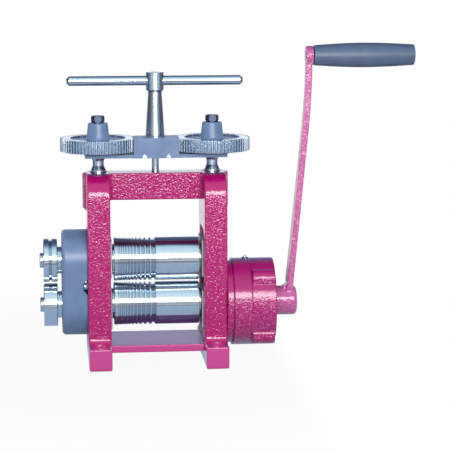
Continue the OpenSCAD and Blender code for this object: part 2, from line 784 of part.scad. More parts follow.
module gear_cover() {
    inner_r = cover_r - cover_wall;
    inner_edge = cover_edge_r - cover_wall;
    hole = sleeve_d + 2 * cover_hole_clear;
    color("slategray") difference() {
        union() {
            difference() {
                capsule(concat([[0, -cover_x]], arc(cover_r - cover_edge_r, -cover_x + cover_edge_r,
                    cover_edge_r, -90, 0),
                    [[cover_r, -out_x], [0, -out_x]]));
                capsule(concat([[0, -cover_x + cover_wall]],
                    arc(inner_r - inner_edge, -cover_x + cover_wall + inner_edge, inner_edge, -90, 0),
                    [[inner_r, -out_x + cut], [0, -out_x + cut]]));
                for (s = [-1, 1])
                    bar_y(2 * notch_r, min(s * inner_r, s * (cover_r + cut)) - cut,
                        max(s * inner_r, s * (cover_r + cut)) + cut,
                        -out_x - notch_bite + notch_r, mid_z);
            }
            for (s = [-1, 1]) bar_x(lug_d, -out_x - lug_t, -out_x, s * lug_y, mid_z);
        }
        for (s = [-1, 1]) bar_x(cap_screw_d + 2 * seat_clear, -out_x - lug_t - cut, -out_x + cut,
            s * lug_y, mid_z);
        bar_x(hole, -cover_x - cut, -cover_x + cover_wall + cut, 0, lower_z);
        for (z = [upper_z - travel_down, upper_z + travel_up])
            bar_x(hole, -cover_x - cut, -cover_x + cover_wall + cut, 0, z);
        block([-cover_x - cut, -hole / 2, upper_z - travel_down],
            [-cover_x + cover_wall + cut, hole / 2, upper_z + travel_up]);
    }
}

module gear_cover_screws() {
    far = -out_x - lug_t - cap_head_h;
    color("silver") for (s = [-1, 1]) translate([0, s * lug_y, mid_z]) difference() {
        union() {
            bar_x(cap_head_d, far, -out_x - lug_t, 0, 0);
            bar_x(cap_screw_d, -out_x - lug_t, -out_x - lug_t + cap_screw_len, 0, 0);
        }
        hex_x(cap_socket_af, far - cut, far + cap_head_h / 2);
    }
}

// Planetary gearbox on the right

// Places of the four screws that hold the gearbox on its frame, as [y, z]
function mount_points() = [for (sy = [-1, 1], dz = [mount_screw_up, -mount_screw_down])
    [sy * mount_screw_y, lower_z + dz]];

module gearbox_spacer() {
    color("dimgray") difference() {
        bar_x(gearbox_d - 2 * spacer_step, out_x, housing_x, 0, lower_z);
        bar_x(journal_d + 4 * face_clear, out_x - cut, housing_x + cut, 0, lower_z);
        for (p = mount_points())
            bar_x(mount_screw_d + 2 * seat_clear, out_x - cut, housing_x + cut, p[0], p[1]);
    }
}

module gearbox_housing() {
    color("mediumvioletred") difference() {
        bar_x(gearbox_d, housing_x, lid_x, 0, lower_z);
        bar_x(ring_out_d + 2 * seat_clear, planet_in_x, lid_x + cut, 0, lower_z);
        bar_x(ring_out_d - 2 * ring_wall, housing_x + housing_back_t, lid_x, 0, lower_z);
        bar_x(journal_d + 4 * face_clear, housing_x - cut, lid_x, 0, lower_z);
        for (p = mount_points()) translate([0, p[0], p[1]]) {
            bar_x(mount_screw_d + 2 * seat_clear, housing_x - cut, lid_x, 0, 0);
            turned_x(sunk_head(seat_clear));
        }
        at_lid_screws() bar_x(lid_screw_d + 2 * seat_clear, lid_x - lid_screw_grip - drill_room,
            lid_x + cut, 0, 0);
        bar_z(oiler_stem_d + 2 * seat_clear, lower_z + gearbox_d / 2 - oiler_stem_len - seat_clear,
            lower_z + gearbox_d / 2 + cut, oiler_x, 0);
    }
}

// Outline of a countersunk head that ends flush inside the gearbox housing
function sunk_head(grow) =
    let (flush = housing_x + housing_back_t, drop = (mount_head_d - mount_screw_d) / 2)
    [[0, flush - drop - grow], [mount_screw_d / 2, flush - drop - grow], [mount_head_d / 2 + grow, flush],
        [mount_head_d / 2 + grow, flush + grow], [0, flush + grow]];

module gearbox_mount_screws() {
    color("silver") for (p = mount_points()) translate([0, p[0], p[1]]) difference() {
        union() {
            turned_x(sunk_head(0));
            bar_x(mount_screw_d, out_x - mount_screw_grip, housing_x + housing_back_t / 2, 0, 0);
        }
        hex_x(mount_screw_d / 2, housing_x + housing_back_t / 2, housing_x + housing_back_t + cut);
    }
}

module ring_gear() {
    color("gray") difference() {
        bar_x(ring_out_d, planet_in_x, planet_out_x, 0, lower_z);
        translate([planet_in_x - cut, 0, lower_z]) rotate([0, 90, 0])
            linear_extrude(planet_out_x - planet_in_x + 2 * cut)
            polygon(gear_outline(ring_d / 2, ring_teeth, planet_dedendum, planet_module, -planet_backlash));
    }
}

module at_lid_screws() {
    for (k = [0:lid_lobe_count - 1]) translate([0, 0, lower_z])
        rotate([-(lid_lobe_turn + 360 * k / lid_lobe_count), 0, 0]) translate([0, 0, lid_screw_r])
            children();
}

module gearbox_lid() {
    color("mediumvioletred") difference() {
        union() {
            bar_x(gearbox_d, lid_x, gearbox_end_x, 0, lower_z);
            at_lid_screws()
                bar_x(2 * lid_lobe_r, lid_x + lid_lobe_inset, gearbox_end_x - lid_lobe_inset, 0,
                    lid_lobe_at - lid_screw_r);
        }
        difference() {
            bar_x(ring_out_d - 2 * lid_lip, lid_x - cut, gearbox_end_x - lid_wall, 0, lower_z);
            bar_x(lid_boss_d, gearbox_end_x - lid_boss_len, gearbox_end_x, 0, lower_z);
        }
        bar_x(crank_shaft_d + 2 * crank_bush_wall + 2 * seat_clear, lid_x - cut, gearbox_end_x + cut, 0,
            lower_z);
        at_lid_screws() {
            bar_x(lid_screw_d + 2 * seat_clear, lid_x - cut, gearbox_end_x + cut, 0, 0);
            bar_x(lid_screw_head_d + 2 * seat_clear, gearbox_end_x - lid_screw_head_h,
                gearbox_end_x + cut, 0, 0);
        }
    }
}

module gearbox_lid_screws() {
    color("silver") at_lid_screws() difference() {
        union() {
            bar_x(lid_screw_d, lid_x - lid_screw_grip, gearbox_end_x - lid_screw_head_h, 0, 0);
            bar_x(lid_screw_head_d, gearbox_end_x - lid_screw_head_h, gearbox_end_x, 0, 0);
        }
        hex_x(lid_screw_head_d / 2, gearbox_end_x - lid_screw_head_h / 2, gearbox_end_x + cut);
    }
}

module crank_shaft_bush() {
    inner = crank_shaft_d / 2 + run_clear;
    color("peru") translate([0, 0, lower_z]) turned_x([
        [inner, gearbox_end_x - lid_boss_len], [inner + crank_bush_wall - run_clear,
            gearbox_end_x - lid_boss_len],
        [inner + crank_bush_wall - run_clear, gearbox_end_x], [inner, gearbox_end_x]]);
}

module oil_cup() {
    z = lower_z + gearbox_d / 2;
    color("silver") translate([oiler_x, 0, 0]) turned_z(concat(
        [[0, z - oiler_stem_len], [oiler_stem_d / 2, z - oiler_stem_len], [oiler_stem_d / 2, z],
            [oiler_d / 2, z], [oiler_d / 2, z + oiler_rise / 2], [oiler_cap_d / 2, z + oiler_rise]],
        arc(0, z + oiler_rise, oiler_ball_d / 2, 0, 90)));
}

module planet_carrier() {
    color("gray") difference() {
        bar_x(carrier_d, carrier_in_x, carrier_out_x, 0, lower_z);
        bar_x(carrier_seat_d + 2 * seat_clear, carrier_in_x - cut, carrier_out_x + cut, 0, lower_z);
        at_planets() bar_x(planet_pin_d + 2 * seat_clear, carrier_in_x - cut, carrier_out_x + cut, 0, 0);
    }
}

// Places of the planet gears around the lower roll's axis
module at_planet(k) translate([0, 0, lower_z]) rotate([360 * k / planet_count, 0, 0])
    translate([0, 0, -planet_orbit_r]) children();
module at_planets() for (k = [0:planet_count - 1]) at_planet(k) children();

module planet_pins() {
    color("silver") at_planets() {
        bar_x(planet_pin_d, carrier_in_x, planet_out_x + face_clear, 0, 0);
        bar_x(planet_pin_head_d, planet_out_x + face_clear, planet_out_x + face_clear + planet_pin_head_t,
            0, 0);
    }
}

module planet_gear(k) {
    color("darkgray") at_planet(k) difference() {
        translate([planet_in_x, 0, 0]) rotate([0, 90, 0]) linear_extrude(planet_out_x - planet_in_x)
            polygon(gear_outline(planet_module * planet_teeth / 2, planet_teeth, planet_module,
                planet_dedendum,
                planet_backlash));
        bar_x(planet_pin_d + 2 * run_clear, planet_in_x - cut, planet_out_x + cut, 0, 0);
    }
}
module planet_gear_1() planet_gear(0);
module planet_gear_2() planet_gear(1);
module planet_gear_3() planet_gear(2);

module sun_shaft() {
    color("darkgray") translate([0, 0, lower_z]) {
        bar_x(pilot_d, carrier_out_x - pilot_len, planet_in_x, 0, 0);
        translate([planet_in_x, 0, 0]) rotate([0, 90, 0]) linear_extrude(planet_out_x - planet_in_x)
            polygon(gear_outline(planet_module * sun_teeth / 2, sun_teeth, planet_module, planet_dedendum,
                planet_backlash));
        bar_x(crank_shaft_d, planet_out_x, shaft_end_x, 0, 0);
    }
}

// Crank

module crank_arm() {
    hub_r = hub_d / 2;
    color("palevioletred") difference() {
        union() {
            translate([0, 0, lower_z])
                turned_x([[0, hub_x], [hub_r, hub_x], [hub_r, hub_end_x - hub_chamfer],
                [hub_r - hub_chamfer, hub_end_x], [0, hub_end_x]]);
            arm_bar();
            arm_fillet();
            bar_x(arm_boss_d, arm_boss_in_x, arm_boss_out_x, 0, grip_z);
        }
        bar_x(crank_shaft_d + 2 * seat_clear, hub_x - cut, hub_bore_end, 0, lower_z);
        bar_x(grip_pin_d + 2 * seat_clear, arm_boss_in_x - cut, arm_boss_out_x + cut, 0, grip_z);
        bar_z(set_screw_d + 2 * seat_clear, lower_z - hub_r - cut, lower_z, set_screw_x, 0);
    }
}

// Bent flat bar between the hub and the boss: its side view cut to its taper
module arm_bar() {
    lean_x = arm_t / 2 * cos(arm_lean);
    lean_z = arm_t / 2 * sin(arm_lean);
    middle = arm_top_x - arm_bend_r;
    intersection() {
        translate([0, arm_root_w / 2, 0]) rotate([90, 0, 0]) linear_extrude(arm_root_w) polygon(concat(
            [[arm_root_x + lean_x, lower_z - lean_z]],
            arc(middle, grip_z, arm_bend_r + arm_t / 2, -arm_lean, 0),
            arc(middle, grip_z, arm_bend_r - arm_t / 2, 0, -arm_lean),
            [[arm_root_x - lean_x, lower_z + lean_z]]));
        translate([hub_x, 0, lower_z]) rotate([90, 0, 90]) linear_extrude(arm_boss_out_x - hub_x)
            polygon([[-arm_root_w / 2, 0], [arm_root_w / 2, 0], [arm_tip_w / 2, crank_r],
                [-arm_tip_w / 2, crank_r]]);
    }
}

// Fillet between the hub and the inner face of the crank arm
module arm_fillet() {
    face = arm_root_x - arm_t / 2 + tan(arm_lean) * hub_d / 2;
    top = lower_z + hub_d / 2;
    half = arm_root_w / 2 * fillet_share;
    translate([0, half, 0]) rotate([90, 0, 0]) linear_extrude(2 * half) polygon(concat(
        [[face + arm_t / 2, top + root_fillet], [face + arm_t / 2, lower_z], [face - root_fillet, lower_z]],
        arc(face - root_fillet, top + root_fillet, root_fillet, -90, 0)));
}

module crank_set_screw() {
    color("dimgray") translate([set_screw_x, 0, 0]) difference() {
        bar_z(set_screw_d, lower_z - hub_d / 2 + set_screw_sink, lower_z - crank_shaft_d / 2 - seat_clear,
            0, 0);
        hex_z(set_screw_d / 2, lower_z - hub_d / 2 + set_screw_sink - cut,
            lower_z - hub_d / 2 + set_screw_sink + set_screw_d / 2);
    }
}

module grip_pin() {
    color("silver") translate([0, 0, grip_z]) turned_x([
        [0, arm_boss_in_x - pin_end_rise], [grip_pin_d / 2 - pin_end_rise, arm_boss_in_x - pin_end_rise],
        [grip_pin_d / 2, arm_boss_in_x], [grip_pin_d / 2, grip_end_x - grip_bore_room - face_clear],
        [0, grip_end_x - grip_bore_room - face_clear]]);
}

// Radius of the grip at a share t of its length
function grip_radius(t) = t < grip_bulge_share
    ? grip_root_d / 2 + (grip_d - grip_root_d) / 2 * sin(90 * t / grip_bulge_share)
    : grip_d / 2 - (grip_d - grip_end_d) / 2
        * (1 - cos(90 * (t - grip_bulge_share) / (1 - grip_bulge_share)));

module grip() {
    bore = grip_pin_d / 2 + run_clear;
    bore_end = grip_end_x - grip_bore_room;
    straight = grip_len - grip_dome;
    color("darkslategray") translate([0, 0, grip_z]) turned_x(concat(
        [[0, bore_end], [bore, bore_end], [bore, grip_x], [grip_root_d / 2 - ext_edge, grip_x]],
        [for (i = [0:grip_steps])
            [grip_radius(i / grip_steps), grip_x + ext_edge + (straight - ext_edge) * i / grip_steps]],
        [for (i = [1:arc_steps]) let (a = 90 * i / arc_steps)
            [grip_end_d / 2 * cos(a), grip_end_x - grip_dome + grip_dome * sin(a)]]));
}

// Bridge, pinion cover and T handle

module bridge_plate() {
    color("slategray") difference() {
        block([-plate_len / 2, -plate_d / 2, plate_z], [plate_len / 2, plate_d / 2, plate_top]);
        for (s = [-1, 1]) bar_z(screw_top_d + 2 * run_clear, plate_z - cut, plate_top + cut, s * screw_x,
            0);
        bar_z(post_shaft_d + 2 * run_clear, plate_z - cut, plate_top + cut, 0, 0);
        at_trim_screws() bar_y(trim_screw_d + 2 * seat_clear, -cap_d / 2 - cut,
            -cap_d / 2 + trim_screw_len + drill_room, 0, 0);
    }
}

// Places of the screws that hold the pinion cover on the bridge plate's front edge
module at_trim_screws() {
    for (s = [-1, 1]) translate([s * cap_screw_x, 0, (plate_z + plate_top) / 2]) children();
}

// Hood over the front half of the pinion, open to the back
module pinion_cover() {
    color("slategray") difference() {
        block([-cap_len / 2, -cap_d / 2, plate_z], [cap_len / 2, 0, cap_top]);
        block([-cap_len / 2 - cut, -plate_d / 2, plate_z - cut],
            [cap_len / 2 + cut, plate_d / 2, plate_top]);
        block([-cap_len / 2 + cap_wall, -plate_d / 2, plate_z - cut],
            [cap_len / 2 - cap_wall, plate_d / 2, cap_top - cap_wall]);
        for (s = [-1, 1])
            bar_z(screw_gear_d + 2 * cap_gear_room, plate_top - cut, cap_top - cap_wall, s * screw_x, 0);
        bar_z(post_shaft_d + 2 * cap_gear_room, cap_top - cap_wall - cut, cap_top + cut, 0, 0);
        at_trim_screws() bar_y(trim_screw_d + 2 * seat_clear, -cap_d / 2 - cut, -plate_d / 2 + cut, 0, 0);
    }
}

module pinion_cover_screws() {
    color("silver") at_trim_screws() difference() {
        union() {
            bar_y(trim_screw_d, -cap_d / 2, -cap_d / 2 + trim_screw_len, 0, 0);
            bar_y(trim_head_d, -cap_d / 2 - trim_head_h, -cap_d / 2, 0, 0);
        }
        block([-trim_head_d, -cap_d / 2 - trim_head_h - cut, -trim_head_h / 4],
            [trim_head_d, -cap_d / 2 - trim_head_h / 2, trim_head_h / 4]);
    }
}

module handle_post() {
    foot = post_foot_d / 2;
    neck = post_neck_d / 2;
    shaft = post_shaft_d / 2;
    head = head_d / 2;
    bottom = frame_h - spindle_depth;
    shaft_end = plate_z - face_clear;
    color("lightsteelblue") difference() {
        turned_z([[0, bottom], [spindle_d / 2, bottom], [spindle_d / 2, shaft_end], [shaft, shaft_end],
            [shaft, post_z],
            [foot, post_z], [neck, post_collar_z - head_chamfer],
                [head - head_chamfer, post_collar_z - head_chamfer],
            [head, post_collar_z], [head, head_top - ext_edge], [head - ext_edge, head_top],
                [0, head_top]]);
        bar_x(bar_d + 2 * seat_clear, -head_d, head_d, 0, bar_z);
    }
}

module handle_bar() {
    end = bar_len / 2;
    r = bar_d / 2;
    color("lightsteelblue") translate([0, 0, bar_z])
        turned_x([[0, -end], [r - bar_end_chamfer, -end], [r, -end + bar_end_chamfer],
        [r, end - bar_end_chamfer], [r - bar_end_chamfer, end], [0, end]]);
}

// A gear of the screw drive, its first tooth towards +X
module screw_gear(teeth, bore, width) {
    translate([0, 0, screw_gear_z]) difference() {
        linear_extrude(width)
            polygon(gear_outline(screw_module * teeth / 2, teeth, screw_module,
                dedendum_share * screw_module, screw_backlash));
        bar_z(bore, -cut, width + cut, 0, 0);
    }
}
module screw_pinion() color("lightsteelblue")
    screw_gear(pinion_teeth, post_shaft_d + 2 * seat_clear, screw_gear_w - pinion_drop);
module left_screw_gear() color("lightsteelblue") translate([-screw_x, 0, 0])
    screw_gear(screw_teeth, disc_d, screw_gear_w);
module right_screw_gear() color("lightsteelblue") translate([screw_x, 0, 0])
    screw_gear(screw_teeth, disc_d, screw_gear_w);

// Hub of a screw gear: a disc inside the toothed ring with a foot below and a taper above
module gear_hub() {
    bore = screw_top_d / 2 + seat_clear;
    foot = cone_foot_d / 2;
    color("slategray") turned_z(concat(
        [[bore, plate_top + pad_clear], [hub_foot_d / 2, plate_top + pad_clear],
            [hub_foot_d / 2, disc_top - disc_t],
            [disc_d / 2 - seat_clear, disc_top - disc_t], [disc_d / 2 - seat_clear, disc_top]],
        arc(foot + cone_fillet, disc_top + cone_fillet, cone_fillet, 270, 180),
        [[cone_top_d / 2, cone_top - ext_edge], [cone_top_d / 2 - ext_edge, cone_top], [bore, cone_top]]));
}
module left_gear_hub() translate([-screw_x, 0, 0]) gear_hub();
module right_gear_hub() translate([screw_x, 0, 0]) gear_hub();

module adjusting_screw() {
    low = pad_top + pad_clear;
    waist_low = frame_h + travel_up + screw_top_room;
    shoulder = plate_z - pad_clear;
    top = cone_top - screw_top_room;
    color("lightsteelblue") difference() {
        turned_z([[0, low], [screw_nose_d / 2, low], [screw_nose_d / 2, low + screw_nose_h],
            [screw_d / 2, low + screw_nose_h + cut],
            [screw_d / 2, waist_low], [screw_waist_d / 2, waist_low + flare_h],
                [screw_waist_d / 2, shoulder - flare_h],
            [screw_d / 2, shoulder - screw_top_room], [screw_d / 2, shoulder], [screw_top_d / 2, shoulder],
            [screw_top_d / 2, top], [0, top]]);
        bar_z(lock_shank_d + 2 * seat_clear, cone_top - lock_shank_len - drill_room, top + cut, 0, 0);
    }
}
module left_adjusting_screw() translate([-screw_x, 0, 0]) adjusting_screw();
module right_adjusting_screw() translate([screw_x, 0, 0]) adjusting_screw();

// Hexagon bolt that draws the hub down on its screw
module lock_bolt() {
    high = cone_top + lock_head_h;
    corner = lock_head_af / 2 / cos(30);
    color("dimgray") {
        intersection() {
            hex_z(lock_head_af, cone_top, high);
            turned_z([[0, cone_top], [corner - lock_chamfer, cone_top], [corner, cone_top + lock_waist_h],
                [corner, high - lock_chamfer], [corner - lock_chamfer, high], [0, high]]);
        }
        bar_z(lock_shank_d, cone_top - lock_shank_len, high - lock_chamfer, 0, 0);
    }
}
module left_lock_bolt() translate([-screw_x, 0, 0]) lock_bolt();
module right_lock_bolt() translate([screw_x, 0, 0]) lock_bolt();

left_side_frame();
right_side_frame();
top_crossmember();
base_plate();
left_lower_bearing_block();
right_lower_bearing_block();
lower_bushes();
spring_guide_pins();
lift_springs();
gear_cover();
gear_cover_screws();
gearbox_spacer();
gearbox_housing();
gearbox_mount_screws();
ring_gear();
gearbox_lid();
gearbox_lid_screws();
crank_shaft_bush();
oil_cup();
left_upper_bearing_block();
right_upper_bearing_block();
upper_bushes();
thrust_pads();
lower_roll();
lower_roll_gear();
lower_gear_key();
lower_spacer_sleeve();
lower_extension_roller();
lower_roller_screw();
planet_carrier();
planet_pins();
upper_roll();
upper_roll_gear();
upper_gear_key();
upper_spacer_sleeve();
upper_extension_roller();
upper_roller_screw();
planet_gear_1();
planet_gear_2();
planet_gear_3();
sun_shaft();
crank_arm();
crank_set_screw();
grip_pin();
grip();
bridge_plate();
pinion_cover();
pinion_cover_screws();
handle_post();
handle_bar();
screw_pinion();
left_adjusting_screw();
left_screw_gear();
left_gear_hub();
left_lock_bolt();
right_adjusting_screw();
right_screw_gear();
right_gear_hub();
right_lock_bolt();
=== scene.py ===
"""Looks of a jewellers rolling mill: hammered enamel castings, ground steel rolls, cut gears and a
plain studio.

Run as a script in Blender 4.5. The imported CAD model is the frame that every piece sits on.
"""

import math

import bmesh
import bpy
from bpy.props import FloatProperty, FloatVectorProperty, IntProperty, PointerProperty
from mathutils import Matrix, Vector


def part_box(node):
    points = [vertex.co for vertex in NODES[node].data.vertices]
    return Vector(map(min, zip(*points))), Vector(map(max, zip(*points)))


bl_info = {
    "name": "Jewellers Rolling Mill",
    "version": (1, 0, 0),
    "blender": (4, 5, 0),
    "location": "3D View > Sidebar > Rolling Mill",
    "description": "Dresses the packed rolling mill and sets it in a plain studio",
    "category": "Object",
}

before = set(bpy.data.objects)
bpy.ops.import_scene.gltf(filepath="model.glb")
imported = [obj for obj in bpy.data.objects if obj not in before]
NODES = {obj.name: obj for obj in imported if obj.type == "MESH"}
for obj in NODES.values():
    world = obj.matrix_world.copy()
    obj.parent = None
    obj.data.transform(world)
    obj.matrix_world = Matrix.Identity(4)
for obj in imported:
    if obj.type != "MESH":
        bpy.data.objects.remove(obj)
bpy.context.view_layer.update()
MM = 0.001

# Meshes of the CAD nodes: points this close are one, faces that turn less than the flat angle are
# one face, and edges that turn more than the sharp angle are rounded
WELD_DISTANCE = 1e-6
FLAT_ANGLE = math.radians(0.6)
SHARP_ANGLE = math.radians(30)

# Hammered enamel, by the upward part of a face's normal, which is 1 on a level top: where its
# dimples begin and are full, and where the painted shade and reflection of level tops begin and
# are full
DIMPLES_BEGIN, DIMPLES_FULL = 0.36, 0.04
TOP_SHADE_BEGIN, TOP_SHADE_FULL = 0.93, 0.99
# Its painted glints to each dimple, and how boldly they show where the pink sheen does
GLINTS_PER_DIMPLE = 1.2
GLINT_GAIN = 1.8
# How far the coat's thickness swings from patch to patch, and the pink painted on the feet as
# light from the white paper
PATCH_SWING = 0.4
FOOT_PAINTED_LIGHT = 0.75
# The dimples' depth, and the share of it that is left on smooth faces
DIMPLE_DEPTH = 0.95 * MM
CALM_RELIEF = 0.12
# Heights: the top of the feet, the change from even to dimpled, and the rise over which the
# painted sheen grows
FOOT_TOP = 26 * MM
CALM_BLEND = 4 * MM
SHEEN_RISE = 200 * MM
CRISP_COAT = 0.07

# Spacing of the other patterns, and how much finer turned rings are across than along
PAINT_BLOTCH = 16.667 * MM
ORANGE_PEEL = 2 * MM
HANDLING_STAIN = 28.571 * MM
CASTING_STAIN = 14.286 * MM
RING_SQUEEZE = 0.03

# Sockets of the Mix node in its colour form, which has several of each name
MIX_SHARE, MIX_FIRST, MIX_SECOND, MIX_COLOUR = 0, 6, 7, 2

# The paper, in metres from the mill, and its white near and far
PAPER_NEAR, PAPER_FAR = 0.2, 0.7
PAPER_GLOW_NEAR, PAPER_GLOW_FAR = 0.93, 1.0
# Where it fades out beside the gearbox
BENCH_EDGE, BENCH_END = 0.15, 0.185
# The table that bare metal sees: its front and back, and where it gives way to the studio
TABLE_FRONT, TABLE_BACK = -1.2, 0.8
TABLE_REACH, STUDIO_REACH = 1.55, 1.75
# How far the middle of the studio's front lies to the camera's side
CAMERA_SIDE = math.radians(3.5)
# Where the studio's sides darken, by the sideways part of a direction, and what light is left
SIDES_BEGIN, SIDES_FULL, SIDES_LEFT = 0.6, 0.85, 0.18
# Strength of what bare metal sees, and of the plain light on everything else
REFLECTED_LIGHT = 1.3
WORLD_LIGHT = 0.18
# The camera's sensor in millimetres, and how far it sees in metres
SENSOR_WIDTH = 36
VIEW_REACH = 50

# What bare metal sees of the table, from the edge before the camera to the backdrop
TABLE_BANDS = (
    (0.0, "#9593A2"), (0.13, "#868190"), (0.3, "#898497"), (0.39, "#ADBDCD"), (0.48, "#A6B8CB"),
    (0.62, "#9BAFC8"), (0.7, "#59616F"), (0.9, "#59616F"), (1.0, "#E7E7E7"))

# What it sees beyond the table, from straight before the mill round to straight behind it
AROUND_BANDS = (
    (0.04, "#FFFFFF"), (0.1, "#DAECF6"), (0.2, "#B8D7E7"), (0.34, "#AAC7DA"), (0.42, "#596C81"),
    (0.68, "#506176"), (0.78, "#B3BCCB"), (0.85, "#E7E7E7"))

# What it sees above, from the horizon in front, across the zenith, to the backdrop's foot
OVERHEAD_BANDS = (
    (0.0, "#AAAAB1"), (0.06, "#AAACB3"), (0.13, "#E3F3FA"), (0.22, "#E5F7FC"), (0.31, "#DDF3FF"),
    (0.41, "#BFE1F1"), (0.52, "#7384A8"), (0.62, "#50596F"), (0.75, "#4B5269"), (0.85, "#5D6981"),
    (0.933, "#999EC5"), (0.955, "#F3F9FF"), (1.0, "#FFFFFF"))


# Colours

def linear(code):
    """Linear RGB of an sRGB hex colour."""
    parts = [int(code[i:i + 2], 16) / 255 for i in (1, 3, 5)]
    return [p / 12.92 if p <= 0.04045 else ((p + 0.055) / 1.055) ** 2.4 for p in parts]


def rgba(colour):
    """Linear RGBA of a hex colour, of a number, which gives a grey, or of linear RGB."""
    if isinstance(colour, str):
        colour = linear(colour)
    elif isinstance(colour, (int, float)):
        colour = (colour, colour, colour)
    return (*colour, 1)


def shade(colour, share):
    """A linear colour made darker or paler."""
    return [min(1, part * share) for part in colour]


# Settings

def colour_setting(name, description, code):
    """A colour property whose default is an sRGB hex colour."""
    return FloatVectorProperty(name=name, description=description, default=linear(code), size=3,
                               min=0, max=1, subtype="COLOR")


def length_setting(name, description, metres):
    """A length property, in metres."""
    return FloatProperty(name=name, description=description, default=metres, min=0, precision=5,
                         unit="LENGTH")


class MillFinishSettings(bpy.types.PropertyGroup):
    """Colours and sizes of the mill's finishes"""

    enamel: colour_setting("Enamel", "Hammered enamel where it has pooled", "#AC0066")
    # Crest pink: partly the coat's own tone and partly painted sheen
    enamel_pink_sheen: colour_setting("Enamel Pink", "Hammered enamel where the coat is thin", "#CC4C94")
    # Pale flecks: painted glints of the metallic pigment
    enamel_glint: colour_setting("Enamel Specks", "Metallic flecks in the enamel", "#F3C6DE")
    # Level tops: a dull grey-violet that is painted shade and reflection
    enamel_top_shade: colour_setting("Enamel on Level Tops", "Enamel dulled by oil and dust", "#6E4478")
    gearbox_enamel: colour_setting("Gearbox Enamel", "Hammered enamel of the gearbox", "#A40068")
    crank_enamel: colour_setting("Crank Enamel", "Hammered enamel of the crank arm", "#BC5A9A")
    paint: colour_setting("Machine Paint", "Paint of the cover, hubs and bridge", "#687FA4")
    grip: colour_setting("Grip", "Painted grip of the crank", "#52627E")
    steel: colour_setting("Ground Steel", "Rolls, handle and screws", "#CDD6DE")
    gear: colour_setting("Cut Steel", "Toothed rings and gears", "#C6D2E0")
    oxide: colour_setting("Black Oxide", "Lock bolts and set screw", "#5A6278")
    iron: colour_setting("Machined Iron", "Bearing blocks", "#C9C2CC")
    bronze: colour_setting("Bronze", "Bearing bushes", "#9B7440")
    hammer_size: length_setting("Hammer Size", "Spacing of the enamel's dimples", 2.6 * MM)


class MillEdgeSettings(bpy.types.PropertyGroup):
    """How far the pieces' edges are blended, rounded or broken"""

    frame_cell: length_setting("Frame Cell", "Cells that blend the side frames", 1.1 * MM)
    frame_rounds: IntProperty(name="Frame Rounds", description="Smoothing of the side frames",
                              default=20, min=0)
    crank_cell: length_setting("Crank Cell", "Cells that blend the crank arm", 0.9 * MM)
    crank_rounds: IntProperty(name="Crank Rounds", description="Smoothing of the crank arm",
                              default=6, min=0)
    enamel_flow: length_setting("Enamel Flow", "Radius of the enamel round an edge", 2.5 * MM)
    cross_casting: length_setting("Cross Castings", "Edges of crossmember and base plate", 1 * MM)
    gearbox: length_setting("Gearbox", "Edges of the gearbox housing, lid and spacer", 0.5 * MM)
    gear_cover: length_setting("Gear Cover", "Edges of the gear cover", 1.2 * MM)
    block: length_setting("Bearing Blocks", "Edges of the bearing blocks", 0.6 * MM)
    tooth: length_setting("Toothed Rings", "Edges of the screws' toothed rings", 0.25 * MM)
    hub: length_setting("Hubs", "Edges of the screws' painted hubs", 0.8 * MM)
    bolt: length_setting("Lock Bolts", "Edges of the hexagon lock bolts", 0.3 * MM)
    plate: length_setting("Plates", "Edges of the bridge plate and pinion cover", 0.7 * MM)
    post: length_setting("Handle Post", "Edges of the T handle's post", 0.4 * MM)
    screw: length_setting("Screws", "Edges of the small screws and the oil cup", 0.2 * MM)


class MillStudioSettings(bpy.types.PropertyGroup):
    """Camera and floor of the studio"""

    yaw: FloatProperty(name="Yaw", description="Turn of the view about the mill",
                       default=math.radians(5.67), subtype="ANGLE", unit="ROTATION")
    pitch: FloatProperty(name="Pitch", description="How far the view looks down",
                         default=math.radians(9.18), subtype="ANGLE", unit="ROTATION")
    distance: FloatProperty(name="Distance", description="From the camera to its aim",
                            default=2.40715, min=0, unit="LENGTH")
    aim: FloatVectorProperty(name="Aim", description="Point that the camera looks at",
                             default=(0.0918, 0, 0.17385), size=3, subtype="XYZ", unit="LENGTH")
    lens: FloatProperty(name="Lens", description="Focal length on a 36 mm sensor",
                        default=147.06, min=1, unit="CAMERA")
    floor_size: length_setting("Floor Size", "Side of the floor", 12)


class MillSettings(bpy.types.PropertyGroup):
    """All settings of the mill"""

    finish: PointerProperty(type=MillFinishSettings)
    edges: PointerProperty(type=MillEdgeSettings)
    studio: PointerProperty(type=MillStudioSettings)


def settings():
    """The settings in use."""
    return bpy.context.scene.mill


# Materials

def put(tree, kind, values=None, links=None):
    """Adds a node. Values go to its properties or, by name or number, to its inputs, and stops to
    its colour ramp. Links feed its inputs from a socket, or from a node's first output."""
    node = tree.nodes.new(kind)
    for name, value in (values or {}).items():
        if name == "stops":
            elements = node.color_ramp.elements
            while len(elements) < len(value):
                elements.new(0.5)
            for element, (position, colour) in zip(elements, value):
                element.position = position
                element.color = rgba(colour)
        elif isinstance(name, str) and hasattr(node, name):
            setattr(node, name, value)
        else:
            node.inputs[name].default_value = value
    for name, source in (links or {}).items():
        if isinstance(source, bpy.types.Node):
            source = source.outputs[0]
        tree.links.new(source, node.inputs[name])
    return node


def new_material(name):
    """An empty material, its node tree and the object coordinates in it."""
    material = bpy.data.materials.new(name)
    material.use_nodes = True
    tree = material.node_tree
    tree.nodes.clear()
    return material, tree, put(tree, "ShaderNodeTexCoord").outputs["Object"]


